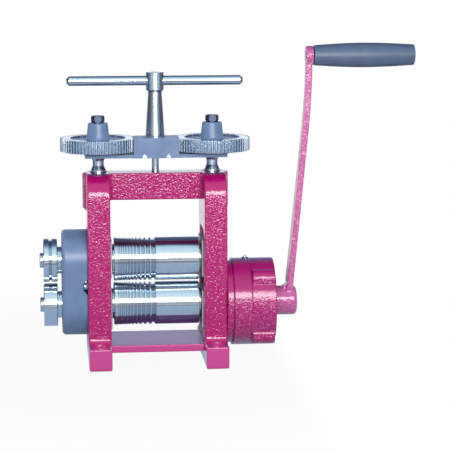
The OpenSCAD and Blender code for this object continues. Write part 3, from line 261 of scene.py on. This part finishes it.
def hammered_enamel(name, pooled, sheen_share, calm_below=0.0, flow=0.0, haze=CRISP_COAT):
    """Hammertone stoving enamel, sprayed on sand-cast iron: a deep gloss colour that has pooled
    between shallow dimples, which break each highlight into pale points.

    The share of pink on the dimples' crests, partly the coat's own tone and partly painted
    sheen, goes from the first of sheen_share, at the height calm_below, to the second, SHEEN_RISE
    above it, so that the painted sheen and glints grow towards the top. Below calm_below the
    enamel is even and is given a paler pink, painted light from the white paper, and level tops
    lie smooth and are given a dull grey-violet, painted shade and reflection. It runs round sharp
    edges over the radius flow, and haze is the roughness of its gloss.
    """
    s = settings().finish
    material, tree, where = new_material(name)
    height = put(tree, "ShaderNodeSeparateXYZ", links={0: where}).outputs["Z"]
    normal = put(tree, "ShaderNodeNewGeometry").outputs["Normal"]
    upward = put(tree, "ShaderNodeSeparateXYZ", links={0: normal}).outputs["Z"]

    # The dimples, the painted glints and the slow change of the coat's thickness
    dimples = put(tree, "ShaderNodeTexNoise",
                  {"Scale": 1 / s.hammer_size, "Detail": 0.6, "Roughness": 0.5, "Distortion": 0.5},
                  {"Vector": where})
    glints = put(tree, "ShaderNodeTexNoise",
                 {"Scale": GLINTS_PER_DIMPLE / s.hammer_size, "Detail": 1.0, "Distortion": 1.2},
                 {"Vector": where})
    patches = put(tree, "ShaderNodeTexNoise", {"Scale": 1 / PAINT_BLOTCH, "Detail": 2.0},
                  {"Vector": where})

    # They show on steep faces above the feet; the pink sheen and glints grow towards the top as
    # painted light
    steep = put(tree, "ShaderNodeMapRange",
                {"From Min": DIMPLES_BEGIN, "From Max": DIMPLES_FULL}, {"Value": upward})
    above = put(tree, "ShaderNodeMapRange",
                {"From Min": calm_below, "From Max": calm_below + CALM_BLEND}, {"Value": height})
    share = put(tree, "ShaderNodeMapRange",
                {"From Min": calm_below, "From Max": calm_below + SHEEN_RISE,
                 "To Min": sheen_share[0], "To Max": sheen_share[1]}, {"Value": height})
    dimpled = put(tree, "ShaderNodeMath", {"operation": "MULTIPLY"}, {0: steep, 1: above})
    cover = put(tree, "ShaderNodeMath", {"operation": "MULTIPLY"}, {0: dimpled, 1: share})

    # Pink on the dimples' crests, partly the coat's own tone and partly painted sheen; on the feet
    # an even pink, painted light from the white paper
    swing = put(tree, "ShaderNodeMath",
                {"operation": "MULTIPLY_ADD", 1: PATCH_SWING, 2: -PATCH_SWING / 2}, {0: patches})
    level = put(tree, "ShaderNodeMath", {"operation": "ADD"}, {0: dimples, 1: swing})
    sheen_crests = put(tree, "ShaderNodeValToRGB", {"stops": ((0.48, 0), (0.6, 1))}, {"Fac": level})
    pink_sheen = put(tree, "ShaderNodeMath", {"operation": "MULTIPLY"}, {0: sheen_crests, 1: cover})
    # The feet's even pink is painted light from the white paper before them
    even = put(tree, "ShaderNodeMapRange", {"From Min": 1.0, "From Max": 0.0, "To Max": FOOT_PAINTED_LIGHT},
               {"Value": above})
    thin = put(tree, "ShaderNodeMath", {"operation": "ADD", "use_clamp": True},
               {0: pink_sheen, 1: even})
    coat = put(tree, "ShaderNodeMix",
               {"data_type": "RGBA", MIX_FIRST: rgba(pooled), MIX_SECOND: rgba(s.enamel_pink_sheen)},
               {MIX_SHARE: thin})

    # Pale flecks, painted glints of the metallic pigment
    glint_spot = put(tree, "ShaderNodeValToRGB", {"stops": ((0.61, 0), (0.66, 1))}, {"Fac": glints})
    glint_share = put(tree, "ShaderNodeMath",
                    {"operation": "MULTIPLY", "use_clamp": True, 1: GLINT_GAIN}, {0: cover})
    glint_spots = put(tree, "ShaderNodeMath", {"operation": "MULTIPLY"}, {0: glint_spot, 1: glint_share})
    glinted = put(tree, "ShaderNodeMix",
                  {"data_type": "RGBA", MIX_SECOND: rgba(s.enamel_glint)},
                  {MIX_SHARE: glint_spots, MIX_FIRST: coat.outputs[MIX_COLOUR]})

    # Level tops are given a dull grey-violet, painted shade and reflection
    top_shade = put(tree, "ShaderNodeMapRange", {"From Min": TOP_SHADE_BEGIN, "From Max": TOP_SHADE_FULL},
               {"Value": upward})
    colour = put(tree, "ShaderNodeMix", {"data_type": "RGBA", MIX_SECOND: rgba(s.enamel_top_shade)},
                 {MIX_SHARE: top_shade, MIX_FIRST: glinted.outputs[MIX_COLOUR]})

    # The relief, which the gloss coat follows
    relief = put(tree, "ShaderNodeMapRange", {"To Min": CALM_RELIEF, "To Max": 1.0},
                 {"Value": dimpled})
    bump = put(tree, "ShaderNodeBump", {"Distance": DIMPLE_DEPTH},
               {"Height": dimples, "Strength": relief})
    if flow > 0:
        edge = put(tree, "ShaderNodeBevel", {"samples": 6, "Radius": flow})
        tree.links.new(edge.outputs[0], bump.inputs["Normal"])
    shader = put(tree, "ShaderNodeBsdfPrincipled",
                 {"Metallic": 0.0, "Roughness": 0.32, "IOR": 1.5, "Specular IOR Level": 0.08,
                  "Coat Weight": 1.0, "Coat Roughness": haze, "Coat IOR": 1.5},
                 {"Base Color": colour.outputs[MIX_COLOUR], "Normal": bump, "Coat Normal": bump})
    put(tree, "ShaderNodeOutputMaterial", links={"Surface": shader})
    return material


def machine_paint(name, paint, roughness):
    """Machine paint, sprayed on a smooth surface and left satin: one soft sheen and a faint orange
    peel, which is drawn 2 mm wide to show at all."""
    material, tree, where = new_material(name)
    mottle = put(tree, "ShaderNodeTexNoise", {"Scale": 1 / PAINT_BLOTCH, "Detail": 4.0},
                 {"Vector": where})
    peel = put(tree, "ShaderNodeTexNoise", {"Scale": 1 / ORANGE_PEEL, "Detail": 2.0},
               {"Vector": where})
    colour = put(tree, "ShaderNodeValToRGB",
                 {"stops": ((0.3, shade(paint, 0.88)), (0.7, shade(paint, 1.1)))}, {"Fac": mottle})
    rough = put(tree, "ShaderNodeValToRGB",
                {"stops": ((0.3, roughness), (0.7, roughness + 0.08))}, {"Fac": mottle})
    bump = put(tree, "ShaderNodeBump", {"Strength": 0.25, "Distance": 0.12 * MM},
               {"Height": peel})
    shader = put(tree, "ShaderNodeBsdfPrincipled", {"Metallic": 0.0, "IOR": 1.5},
                 {"Base Color": colour, "Roughness": rough, "Normal": bump})
    put(tree, "ShaderNodeOutputMaterial", links={"Surface": shader})
    return material


def worked_steel(name, steel, roughness, axis, line, depth, centre=(0, 0, 0)):
    """Carbon steel, turned or ground about one axis: fine rings run round the piece, so its bright
    bands stay crisp along the rings and smear a little across them. Real rings lie hundredths of a
    millimetre apart and are drawn as wide as line to show at all."""
    material, tree, where = new_material(name)
    moved = put(tree, "ShaderNodeVectorMath", {"operation": "SUBTRACT", 1: centre}, {0: where})
    squeeze = [1 if letter == axis else RING_SQUEEZE for letter in "XYZ"]
    flat = put(tree, "ShaderNodeVectorMath", {"operation": "MULTIPLY", 1: squeeze}, {0: moved})
    rings = put(tree, "ShaderNodeTexNoise", {"Scale": 1 / line, "Detail": 3.0, "Roughness": 0.7},
                {"Vector": flat})
    stain = put(tree, "ShaderNodeTexNoise", {"Scale": 1 / HANDLING_STAIN, "Detail": 3.0},
                {"Vector": where})
    colour = put(tree, "ShaderNodeValToRGB", {"stops": ((0.25, shade(steel, 0.82)), (0.7, steel))},
                 {"Fac": rings})
    rough = put(tree, "ShaderNodeValToRGB",
                {"stops": ((0.3, roughness), (0.75, roughness + 0.08))}, {"Fac": stain})
    bump = put(tree, "ShaderNodeBump", {"Strength": 0.5, "Distance": depth}, {"Height": rings})
    around = put(tree, "ShaderNodeTangent", {"direction_type": "RADIAL", "axis": axis})
    shader = put(tree, "ShaderNodeBsdfPrincipled",
                 {"Metallic": 1.0, "Anisotropic": 0.6, "Anisotropic Rotation": 0.25},
                 {"Base Color": colour, "Roughness": rough, "Normal": bump, "Tangent": around})
    put(tree, "ShaderNodeOutputMaterial", links={"Surface": shader})
    return material


def plain_metal(name, metal, roughness, grain, depth):
    """Milled, drawn, cast or blackened metal: an even fine grain and a slightly uneven colour. The
    grain is drawn coarser than the real one, so that it shows."""
    material, tree, where = new_material(name)
    marks = put(tree, "ShaderNodeTexNoise", {"Scale": 1 / grain, "Detail": 3.0},
                {"Vector": where})
    stain = put(tree, "ShaderNodeTexNoise", {"Scale": 1 / CASTING_STAIN, "Detail": 3.0},
                {"Vector": where})
    colour = put(tree, "ShaderNodeValToRGB", {"stops": ((0.3, shade(metal, 0.75)), (0.7, metal))},
                 {"Fac": stain})
    rough = put(tree, "ShaderNodeValToRGB",
                {"stops": ((0.3, roughness), (0.7, roughness + 0.12))}, {"Fac": marks})
    bump = put(tree, "ShaderNodeBump", {"Strength": 0.4, "Distance": depth}, {"Height": marks})
    shader = put(tree, "ShaderNodeBsdfPrincipled", {"Metallic": 1.0},
                 {"Base Color": colour, "Roughness": rough, "Normal": bump})
    put(tree, "ShaderNodeOutputMaterial", links={"Surface": shader})
    return material


def cover_paint():
    """The satin grey-blue machine paint that the gear cover, hubs and bridge share."""
    name = "satin_machine_paint"
    return bpy.data.materials.get(name) or machine_paint(name, settings().finish.paint, 0.32)


def bolt_oxide():
    """The black oxide that the lock bolts and the crank's set screw share: dark, with a low
    sheen."""
    name = "black_oxide_bolt_steel"
    return bpy.data.materials.get(name) or plain_metal(
        name, settings().finish.oxide, roughness=0.32, grain=0.7 * MM, depth=0.03 * MM)


# Working on the CAD nodes

def mid(node):
    """Middle of a CAD node's box."""
    low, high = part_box(node)
    return [(a + b) / 2 for a, b in zip(low, high)]


def finish_node(name, material):
    """Gives a CAD node its one material."""
    node = NODES[name]
    node.data.materials.clear()
    node.data.materials.append(material)
    return node


def weld(node):
    """Joins the loose triangles of a CAD node."""
    node.modifiers.new("weld", "WELD").merge_threshold = WELD_DISTANCE


def dress(names, material, edge=0.0, segments=2):
    """Gives CAD nodes a finish and, where edge is above zero, broken edges: their triangles are
    joined into whole faces, then the sharp edges are rounded. The others keep the crisp edges of
    the frame's mesh."""
    for name in names:
        node = finish_node(name, material)
        if edge == 0:
            continue
        for face in node.data.polygons:
            face.use_smooth = True
        weld(node)
        join = node.modifiers.new("join_faces", "DECIMATE")
        join.decimate_type = "DISSOLVE"
        join.angle_limit = FLAT_ANGLE
        bevel = node.modifiers.new("edges", "BEVEL")
        bevel.limit_method = "ANGLE"
        bevel.angle_limit = SHARP_ANGLE
        bevel.width = edge
        bevel.segments = segments
        bevel.use_clamp_overlap = True
        bevel.miter_outer = "MITER_ARC"
        normals = node.modifiers.new("normals", "WEIGHTED_NORMAL")
        normals.keep_sharp = False
        normals.weight = 60


def blend_casting(name, material, cell, rounds):
    """Gives a cast CAD node its blended corners: it is rebuilt in fine cells and smoothed."""
    node = finish_node(name, material)
    weld(node)
    cells = node.modifiers.new("cells", "REMESH")
    cells.mode = "VOXEL"
    cells.voxel_size = cell
    cells.use_smooth_shade = True
    soft = node.modifiers.new("blend", "SMOOTH")
    soft.factor = 0.5
    soft.iterations = rounds


# The mill's pieces

class MILL_OT_frame_castings(bpy.types.Operator):
    """Finish the side frames, crossmember and base plate in hammered enamel"""

    bl_idname = "mill.frame_castings"
    bl_label = "Frame Castings"
    bl_options = {"REGISTER", "UNDO"}

    def execute(self, context):
        s, edges = settings().finish, settings().edges
        enamel = hammered_enamel("hammertone_enamel_on_side_frames", s.enamel, (0.0, 0.25),
                                 calm_below=FOOT_TOP)
        for side in ("left", "right"):
            blend_casting(f"{side}_side_frame", enamel, edges.frame_cell, edges.frame_rounds)
        # The flat castings keep their mesh, so the enamel itself softens their edges
        edged = hammered_enamel("hammertone_enamel_on_cross_castings", s.enamel, (0.0, 0.1),
                                calm_below=FOOT_TOP, flow=edges.enamel_flow)
        dress(["top_crossmember", "base_plate"], edged, edges.cross_casting, segments=3)
        return {"FINISHED"}


class MILL_OT_gearbox(bpy.types.Operator):
    """Finish the planetary gearbox and what is inside it"""

    bl_idname = "mill.gearbox"
    bl_label = "Gearbox"
    bl_options = {"REGISTER", "UNDO"}

    def execute(self, context):
        s, edges = settings().finish, settings().edges
        # Its coat is duller than the frame's, so that its highlights spread over the lid's lobes
        enamel = hammered_enamel("hammertone_enamel_on_gearbox_iron", s.gearbox_enamel, (0.1, 0.5),
                                 flow=edges.enamel_flow, haze=0.16)
        dress(["gearbox_housing", "gearbox_lid", "gearbox_spacer"], enamel, edges.gearbox,
              segments=3)
        # Milled gears: grey, even and half bright
        cut = plain_metal("milled_steel_gearbox_gears", s.gear, roughness=0.3, grain=0.5 * MM,
                          depth=0.02 * MM)
        dress(["ring_gear", "planet_gear_1", "planet_gear_2", "planet_gear_3", "planet_carrier",
               "planet_pins", "sun_shaft"], cut)
        return {"FINISHED"}


class MILL_OT_gear_cover(bpy.types.Operator):
    """Finish the gear cover on the left"""

    bl_idname = "mill.gear_cover"
    bl_label = "Gear Cover"
    bl_options = {"REGISTER", "UNDO"}

    def execute(self, context):
        dress(["gear_cover"], cover_paint(), settings().edges.gear_cover, segments=3)
        return {"FINISHED"}


class MILL_OT_rolls(bpy.types.Operator):
    """Finish the two rolls, their gears and sleeves"""

    bl_idname = "mill.rolls"
    bl_label = "Rolls"
    bl_options = {"REGISTER", "UNDO"}

    def execute(self, context):
        s = settings().finish
        for which in ("lower", "upper"):
            # Ground rolls: nearly a mirror, with crisp bands along the roll
            axis_height = mid(f"{which}_extension_roller")[2]
            ground = worked_steel(f"ground_roll_steel_{which}", s.steel, roughness=0.13, axis="X",
                                  line=0.5 * MM, depth=0.004 * MM, centre=(0, 0, axis_height))
            dress([f"{which}_roll", f"{which}_spacer_sleeve", f"{which}_extension_roller"], ground)
            # Cut gears and keys: grey, even and half bright
            cut = plain_metal(f"cut_roll_gear_steel_{which}", s.gear, roughness=0.3,
                              grain=0.5 * MM, depth=0.02 * MM)
            dress([f"{which}_roll_gear", f"{which}_gear_key"], cut)
        return {"FINISHED"}


class MILL_OT_bearings(bpy.types.Operator):
    """Finish the bearing blocks, bushes, pads and lift springs"""

    bl_idname = "mill.bearings"
    bl_label = "Bearings"
    bl_options = {"REGISTER", "UNDO"}

    def execute(self, context):
        s = settings().finish
        # Milled iron: pale, matt and a little mottled
        iron = plain_metal("milled_cast_iron", s.iron, roughness=0.5, grain=0.8 * MM,
                           depth=0.05 * MM)
        dress(["left_lower_bearing_block", "right_lower_bearing_block",
               "left_upper_bearing_block", "right_upper_bearing_block"], iron,
              settings().edges.block)
        # Turned bronze: warm brown with a satin sheen
        bronze = plain_metal("turned_bearing_bronze", s.bronze, roughness=0.25, grain=0.6 * MM,
                             depth=0.02 * MM)
        dress(["lower_bushes", "upper_bushes", "crank_shaft_bush"], bronze)
        # Drawn wire and ground pins: smooth and bright
        wire = plain_metal("drawn_spring_wire", s.steel, roughness=0.25, grain=0.5 * MM,
                           depth=0.01 * MM)
        dress(["lift_springs", "spring_guide_pins", "thrust_pads"], wire)
        return {"FINISHED"}


class MILL_OT_adjusting_screws(bpy.types.Operator):
    """Finish the adjusting screws with their gears, hubs and lock bolts"""

    bl_idname = "mill.adjusting_screws"
    bl_label = "Adjusting Screws"
    bl_options = {"REGISTER", "UNDO"}

    def execute(self, context):
        s, edges = settings().finish, settings().edges
        for side in ("left", "right"):
            x, y, _ = mid(f"{side}_adjusting_screw")
            # Turned screws and hobbed rings: bright, with bands down the piece
            turned = worked_steel(f"turned_screw_steel_{side}", s.steel, roughness=0.16, axis="Z",
                                  line=0.6 * MM, depth=0.001 * MM, centre=(x, y, 0))
            dress([f"{side}_adjusting_screw"], turned)
            cut = worked_steel(f"hobbed_gear_steel_{side}", s.gear, roughness=0.17, axis="Z",
                               line=0.8 * MM, depth=0.004 * MM, centre=(x, y, 0))
            dress([f"{side}_screw_gear"], cut, edges.tooth, segments=1)
            dress([f"{side}_gear_hub"], cover_paint(), edges.hub)
            dress([f"{side}_lock_bolt"], bolt_oxide(), edges.bolt)
        return {"FINISHED"}


class MILL_OT_bridge(bpy.types.Operator):
    """Finish the bridge plate and the pinion cover"""

    bl_idname = "mill.bridge"
    bl_label = "Bridge"
    bl_options = {"REGISTER", "UNDO"}

    def execute(self, context):
        dress(["bridge_plate", "pinion_cover"], cover_paint(), settings().edges.plate)
        return {"FINISHED"}


class MILL_OT_t_handle(bpy.types.Operator):
    """Finish the T handle and its pinion"""

    bl_idname = "mill.t_handle"
    bl_label = "T Handle"
    bl_options = {"REGISTER", "UNDO"}

    def execute(self, context):
        s = settings().finish
        # Turned post and drawn bar: bright and smooth, with bands along each
        post = worked_steel("turned_post_steel", s.steel, roughness=0.16, axis="Z",
                            line=0.6 * MM, depth=0.001 * MM)
        dress(["handle_post"], post, settings().edges.post)
        bar = worked_steel("drawn_bar_steel", s.steel, roughness=0.16, axis="X", line=0.8 * MM,
                           depth=0.0005 * MM, centre=(0, 0, mid("handle_bar")[2]))
        dress(["handle_bar"], bar)
        # Cut pinion: grey, even and half bright
        cut = plain_metal("cut_pinion_steel", s.gear, roughness=0.3, grain=0.5 * MM,
                          depth=0.02 * MM)
        dress(["screw_pinion"], cut)
        return {"FINISHED"}


class MILL_OT_crank(bpy.types.Operator):
    """Finish the crank's arm and grip"""

    bl_idname = "mill.crank"
    bl_label = "Crank"
    bl_options = {"REGISTER", "UNDO"}

    def execute(self, context):
        s, edges = settings().finish, settings().edges
        # The arm's coat is thin and pale, with a broad gloss
        enamel = hammered_enamel("hammertone_enamel_on_crank_iron", s.crank_enamel, (0.1, 0.5),
                                 haze=0.14)
        blend_casting("crank_arm", enamel, edges.crank_cell, edges.crank_rounds)
        # Painted beech: dark, smooth and nearly matt
        dress(["grip"], machine_paint("satin_painted_beech", s.grip, 0.4))
        # Turned pin: smooth and bright
        steel = plain_metal("turned_pin_steel", s.steel, roughness=0.25, grain=0.5 * MM,
                            depth=0.01 * MM)
        dress(["grip_pin"], steel)
        dress(["crank_set_screw"], bolt_oxide())
        return {"FINISHED"}


class MILL_OT_fasteners(bpy.types.Operator):
    """Finish the screws and the oil cup"""

    bl_idname = "mill.fasteners"
    bl_label = "Fasteners"
    bl_options = {"REGISTER", "UNDO"}

    def execute(self, context):
        # Zinc plate: the brightest of the small metal pieces
        bright = plain_metal("zinc_plated_screw_steel", settings().finish.steel, roughness=0.22,
                             grain=0.5 * MM, depth=0.01 * MM)
        dress(["gear_cover_screws", "gearbox_lid_screws", "lower_roller_screw",
               "upper_roller_screw", "pinion_cover_screws", "oil_cup", "gearbox_mount_screws"],
              bright, settings().edges.screw)
        return {"FINISHED"}


# Stage

def flat_sheet(name, side, material):
    """A square sheet on the ground plane."""
    mesh = bpy.data.meshes.new(name)
    shape = bmesh.new()
    bmesh.ops.create_grid(shape, x_segments=2, y_segments=2, size=side / 2)
    shape.to_mesh(mesh)
    shape.free()
    sheet = bpy.data.objects.new(name, mesh)
    sheet.data.materials.append(material)
    bpy.context.collection.objects.link(sheet)
    return sheet


def background_paper():
    """White paper: even and matt. It shows white to the camera and keeps the mill's faint shadow.
    Bare metal sees it as a grey-blue table before the mill, with the lit studio beyond. It ends
    beside the gearbox like a bench, so that the crank swings below it in plain sight."""
    material, tree, where = new_material("white_background_paper")
    rays = put(tree, "ShaderNodeLightPath").outputs
    axes = put(tree, "ShaderNodeSeparateXYZ", links={0: where}).outputs
    reach = put(tree, "ShaderNodeVectorMath", {"operation": "LENGTH"}, {0: where}).outputs["Value"]

    # To the camera: a little paper and its shadow near the mill, pure white far from it
    matt = put(tree, "ShaderNodeBsdfDiffuse", {"Color": rgba("#A0A0A0")})
    glow = put(tree, "ShaderNodeEmission", {"Color": rgba("#FFFFFF"), "Strength": 1.0})
    clean = put(tree, "ShaderNodeMapRange",
                {"From Min": PAPER_NEAR, "From Max": PAPER_FAR,
                 "To Min": PAPER_GLOW_NEAR, "To Max": PAPER_GLOW_FAR}, {"Value": reach})
    paper = put(tree, "ShaderNodeMixShader", links={0: clean, 1: matt, 2: glow})

    # To bare metal: the table by its depth, and beyond it the studio by the way round the mill
    span = put(tree, "ShaderNodeMapRange", {"From Min": TABLE_FRONT, "From Max": TABLE_BACK},
               {"Value": axes["Y"]})
    table = put(tree, "ShaderNodeValToRGB", {"stops": TABLE_BANDS}, {"Fac": span})
    ahead = put(tree, "ShaderNodeMath", {"operation": "MULTIPLY", 1: -1.0}, {0: axes["Y"]})
    way = put(tree, "ShaderNodeMath", {"operation": "ARCTAN2"}, {0: axes["X"], 1: ahead})
    aside = put(tree, "ShaderNodeMath", {"operation": "ADD", 1: CAMERA_SIDE}, {0: way})
    angle = put(tree, "ShaderNodeMath", {"operation": "ABSOLUTE"}, {0: aside})
    turn = put(tree, "ShaderNodeMapRange", {"From Min": 0.0, "From Max": math.pi},
               {"Value": angle})
    around = put(tree, "ShaderNodeValToRGB", {"stops": AROUND_BANDS}, {"Fac": turn})
    far = put(tree, "ShaderNodeMapRange", {"From Min": TABLE_REACH, "From Max": STUDIO_REACH},
              {"Value": reach})
    view = put(tree, "ShaderNodeMix", {"data_type": "RGBA"},
               {MIX_SHARE: far, MIX_FIRST: table, MIX_SECOND: around})
    seen = put(tree, "ShaderNodeEmission", {"Strength": REFLECTED_LIGHT},
               {"Color": view.outputs[MIX_COLOUR]})
    mirrored = put(tree, "ShaderNodeMixShader", links={0: rays["Is Glossy Ray"], 1: matt, 2: seen})
    top = put(tree, "ShaderNodeMixShader",
              links={0: rays["Is Camera Ray"], 1: mirrored, 2: paper})

    # Beside the gearbox neither the camera nor the lamps meet any paper
    edge = put(tree, "ShaderNodeMapRange", {"From Min": BENCH_EDGE, "From Max": BENCH_END},
               {"Value": axes["X"]})
    direct = put(tree, "ShaderNodeMath", {"operation": "MAXIMUM"},
                 {0: rays["Is Camera Ray"], 1: rays["Is Shadow Ray"]})
    beside = put(tree, "ShaderNodeMath", {"operation": "MULTIPLY"}, {0: edge, 1: direct})
    gone = put(tree, "ShaderNodeBsdfTransparent")
    bench = put(tree, "ShaderNodeMixShader", links={0: beside, 1: top, 2: gone})
    put(tree, "ShaderNodeOutputMaterial", links={"Surface": bench})
    return material


def studio_world():
    """The studio round the mill: plain weak light, white to the camera. Bare metal sees a pale
    blue ceiling in front and above, a dark gap over the white backdrop, and unlit sides."""
    world = bpy.data.worlds.new("studio")
    bpy.context.scene.world = world
    world.use_nodes = True
    tree = world.node_tree
    tree.nodes.clear()
    rays = put(tree, "ShaderNodeLightPath").outputs
    way = put(tree, "ShaderNodeTexCoord").outputs["Generated"]
    axes = put(tree, "ShaderNodeSeparateXYZ", links={0: way}).outputs
    ahead = put(tree, "ShaderNodeMath", {"operation": "MULTIPLY", 1: -1.0}, {0: axes["Y"]})
    angle = put(tree, "ShaderNodeMath", {"operation": "ARCTAN2"}, {0: axes["Z"], 1: ahead})
    turn = put(tree, "ShaderNodeMapRange", {"From Min": 0.0, "From Max": math.pi},
               {"Value": angle})
    bands = put(tree, "ShaderNodeValToRGB", {"stops": OVERHEAD_BANDS}, {"Fac": turn})
    aside = put(tree, "ShaderNodeMath", {"operation": "ABSOLUTE"}, {0: axes["X"]})
    sides = put(tree, "ShaderNodeMapRange",
                {"From Min": SIDES_BEGIN, "From Max": SIDES_FULL,
                 "To Min": 1.0, "To Max": SIDES_LEFT}, {"Value": aside})
    strength = put(tree, "ShaderNodeMath", {"operation": "MULTIPLY", 1: REFLECTED_LIGHT},
                   {0: sides})
    plain = put(tree, "ShaderNodeBackground", {"Color": rgba("#F4F6FA"), "Strength": WORLD_LIGHT})
    metal = put(tree, "ShaderNodeBackground", links={"Color": bands, "Strength": strength})
    white = put(tree, "ShaderNodeBackground", {"Color": rgba("#FFFFFF"), "Strength": 1.0})
    inner = put(tree, "ShaderNodeMixShader", links={0: rays["Is Glossy Ray"], 1: plain, 2: metal})
    outer = put(tree, "ShaderNodeMixShader", links={0: rays["Is Camera Ray"], 1: inner, 2: white})
    put(tree, "ShaderNodeOutputWorld", links={"Surface": outer})


def soft_lamp(name, place, aim, size, watts, colour, in_metal=True):
    """A rectangular soft lamp that the camera doesn't see, and bare metal only where in_metal says
    so."""
    data = bpy.data.lights.new(name, "AREA")
    data.shape = "RECTANGLE"
    data.size, data.size_y = size
    data.energy = watts
    data.color = linear(colour)
    lamp = bpy.data.objects.new(name, data)
    lamp.location = place
    lamp.rotation_euler = (Vector(aim) - Vector(place)).to_track_quat("-Z", "Y").to_euler()
    lamp.visible_camera = False
    lamp.visible_glossy = in_metal
    bpy.context.collection.objects.link(lamp)


def studio_lamps():
    """The lamps: one strip that shows in the metal, a ceiling panel, and a panel on each other
    side, so that the back and the ends are lit as plainly as the front."""
    # It draws the white line on the rolls and the white patches of the enamel
    soft_lamp("strip_lamp", place=(0.09, -1.2, 0.6), aim=(0.05, 0, 0.17), size=(0.9, 0.38),
              watts=15.2, colour="#FFFFFF")
    soft_lamp("ceiling_panel", place=(-0.3, -0.7, 1.7), aim=(0.05, 0, 0.12), size=(1.6, 1.2),
              watts=4, colour="#F3F8FF", in_metal=False)
    soft_lamp("back_panel", place=(-0.1, 1.8, 0.8), aim=(0.05, 0, 0.15), size=(1.4, 1.0),
              watts=24, colour="#F8FAFF", in_metal=False)
    for side, x in (("left", -1.7), ("right", 1.9)):
        soft_lamp(f"{side}_panel", place=(x, 0.3, 0.6), aim=(0.05, 0, 0.15), size=(1.0, 0.8),
                  watts=13, colour="#F8FAFF", in_metal=False)


def photo_camera(s):
    """A long lens before the mill, a little to its left and looking a little down."""
    camera = bpy.data.objects.new("camera", bpy.data.cameras.new("camera"))
    ahead = Vector((math.sin(s.yaw) * math.cos(s.pitch), math.cos(s.yaw) * math.cos(s.pitch),
                    -math.sin(s.pitch)))
    camera.location = Vector(s.aim) - ahead * s.distance
    camera.rotation_euler = ahead.to_track_quat("-Z", "Y").to_euler()
    camera.data.lens = s.lens
    camera.data.sensor_width = SENSOR_WIDTH
    camera.data.clip_end = VIEW_REACH
    bpy.context.collection.objects.link(camera)
    return camera


class MILL_OT_stage(bpy.types.Operator):
    """Set up the floor, the light and the camera"""

    bl_idname = "mill.stage"
    bl_label = "Stage"
    bl_options = {"REGISTER", "UNDO"}

    def execute(self, context):
        s = settings().studio
        flat_sheet("floor", s.floor_size, background_paper())
        studio_world()
        studio_lamps()
        bpy.context.scene.camera = photo_camera(s)
        bpy.context.scene.view_settings.view_transform = "Standard"
        return {"FINISHED"}


BUILDERS = (
    MILL_OT_frame_castings, MILL_OT_gearbox, MILL_OT_gear_cover, MILL_OT_rolls, MILL_OT_bearings,
    MILL_OT_adjusting_screws, MILL_OT_bridge, MILL_OT_t_handle, MILL_OT_crank, MILL_OT_fasteners,
    MILL_OT_stage)


class MILL_PT_panel(bpy.types.Panel):
    """Lists the mill's settings and its pieces"""

    bl_idname = "MILL_PT_panel"
    bl_label = "Rolling Mill"
    bl_space_type = "VIEW_3D"
    bl_region_type = "UI"
    bl_category = "Rolling Mill"

    def draw(self, context):
        mill = context.scene.mill
        for group in (mill.finish, mill.edges, mill.studio):
            box = self.layout.box()
            for name in group.__annotations__:
                box.prop(group, name)
        for builder in BUILDERS:
            self.layout.operator(builder.bl_idname)


CLASSES = (MillFinishSettings, MillEdgeSettings, MillStudioSettings, MillSettings, *BUILDERS,
           MILL_PT_panel)


def register():
    """Registers the classes and the scene's settings."""
    for cls in CLASSES:
        bpy.utils.register_class(cls)
    bpy.types.Scene.mill = PointerProperty(type=MillSettings)


def unregister():
    """Removes the scene's settings and the classes."""
    del bpy.types.Scene.mill
    for cls in reversed(CLASSES):
        bpy.utils.unregister_class(cls)


def main():
    """Builds everything in order."""
    register()
    for builder in BUILDERS:
        group, name = builder.bl_idname.split(".")
        getattr(getattr(bpy.ops, group), name)()


if __name__ == "__main__":
    main()
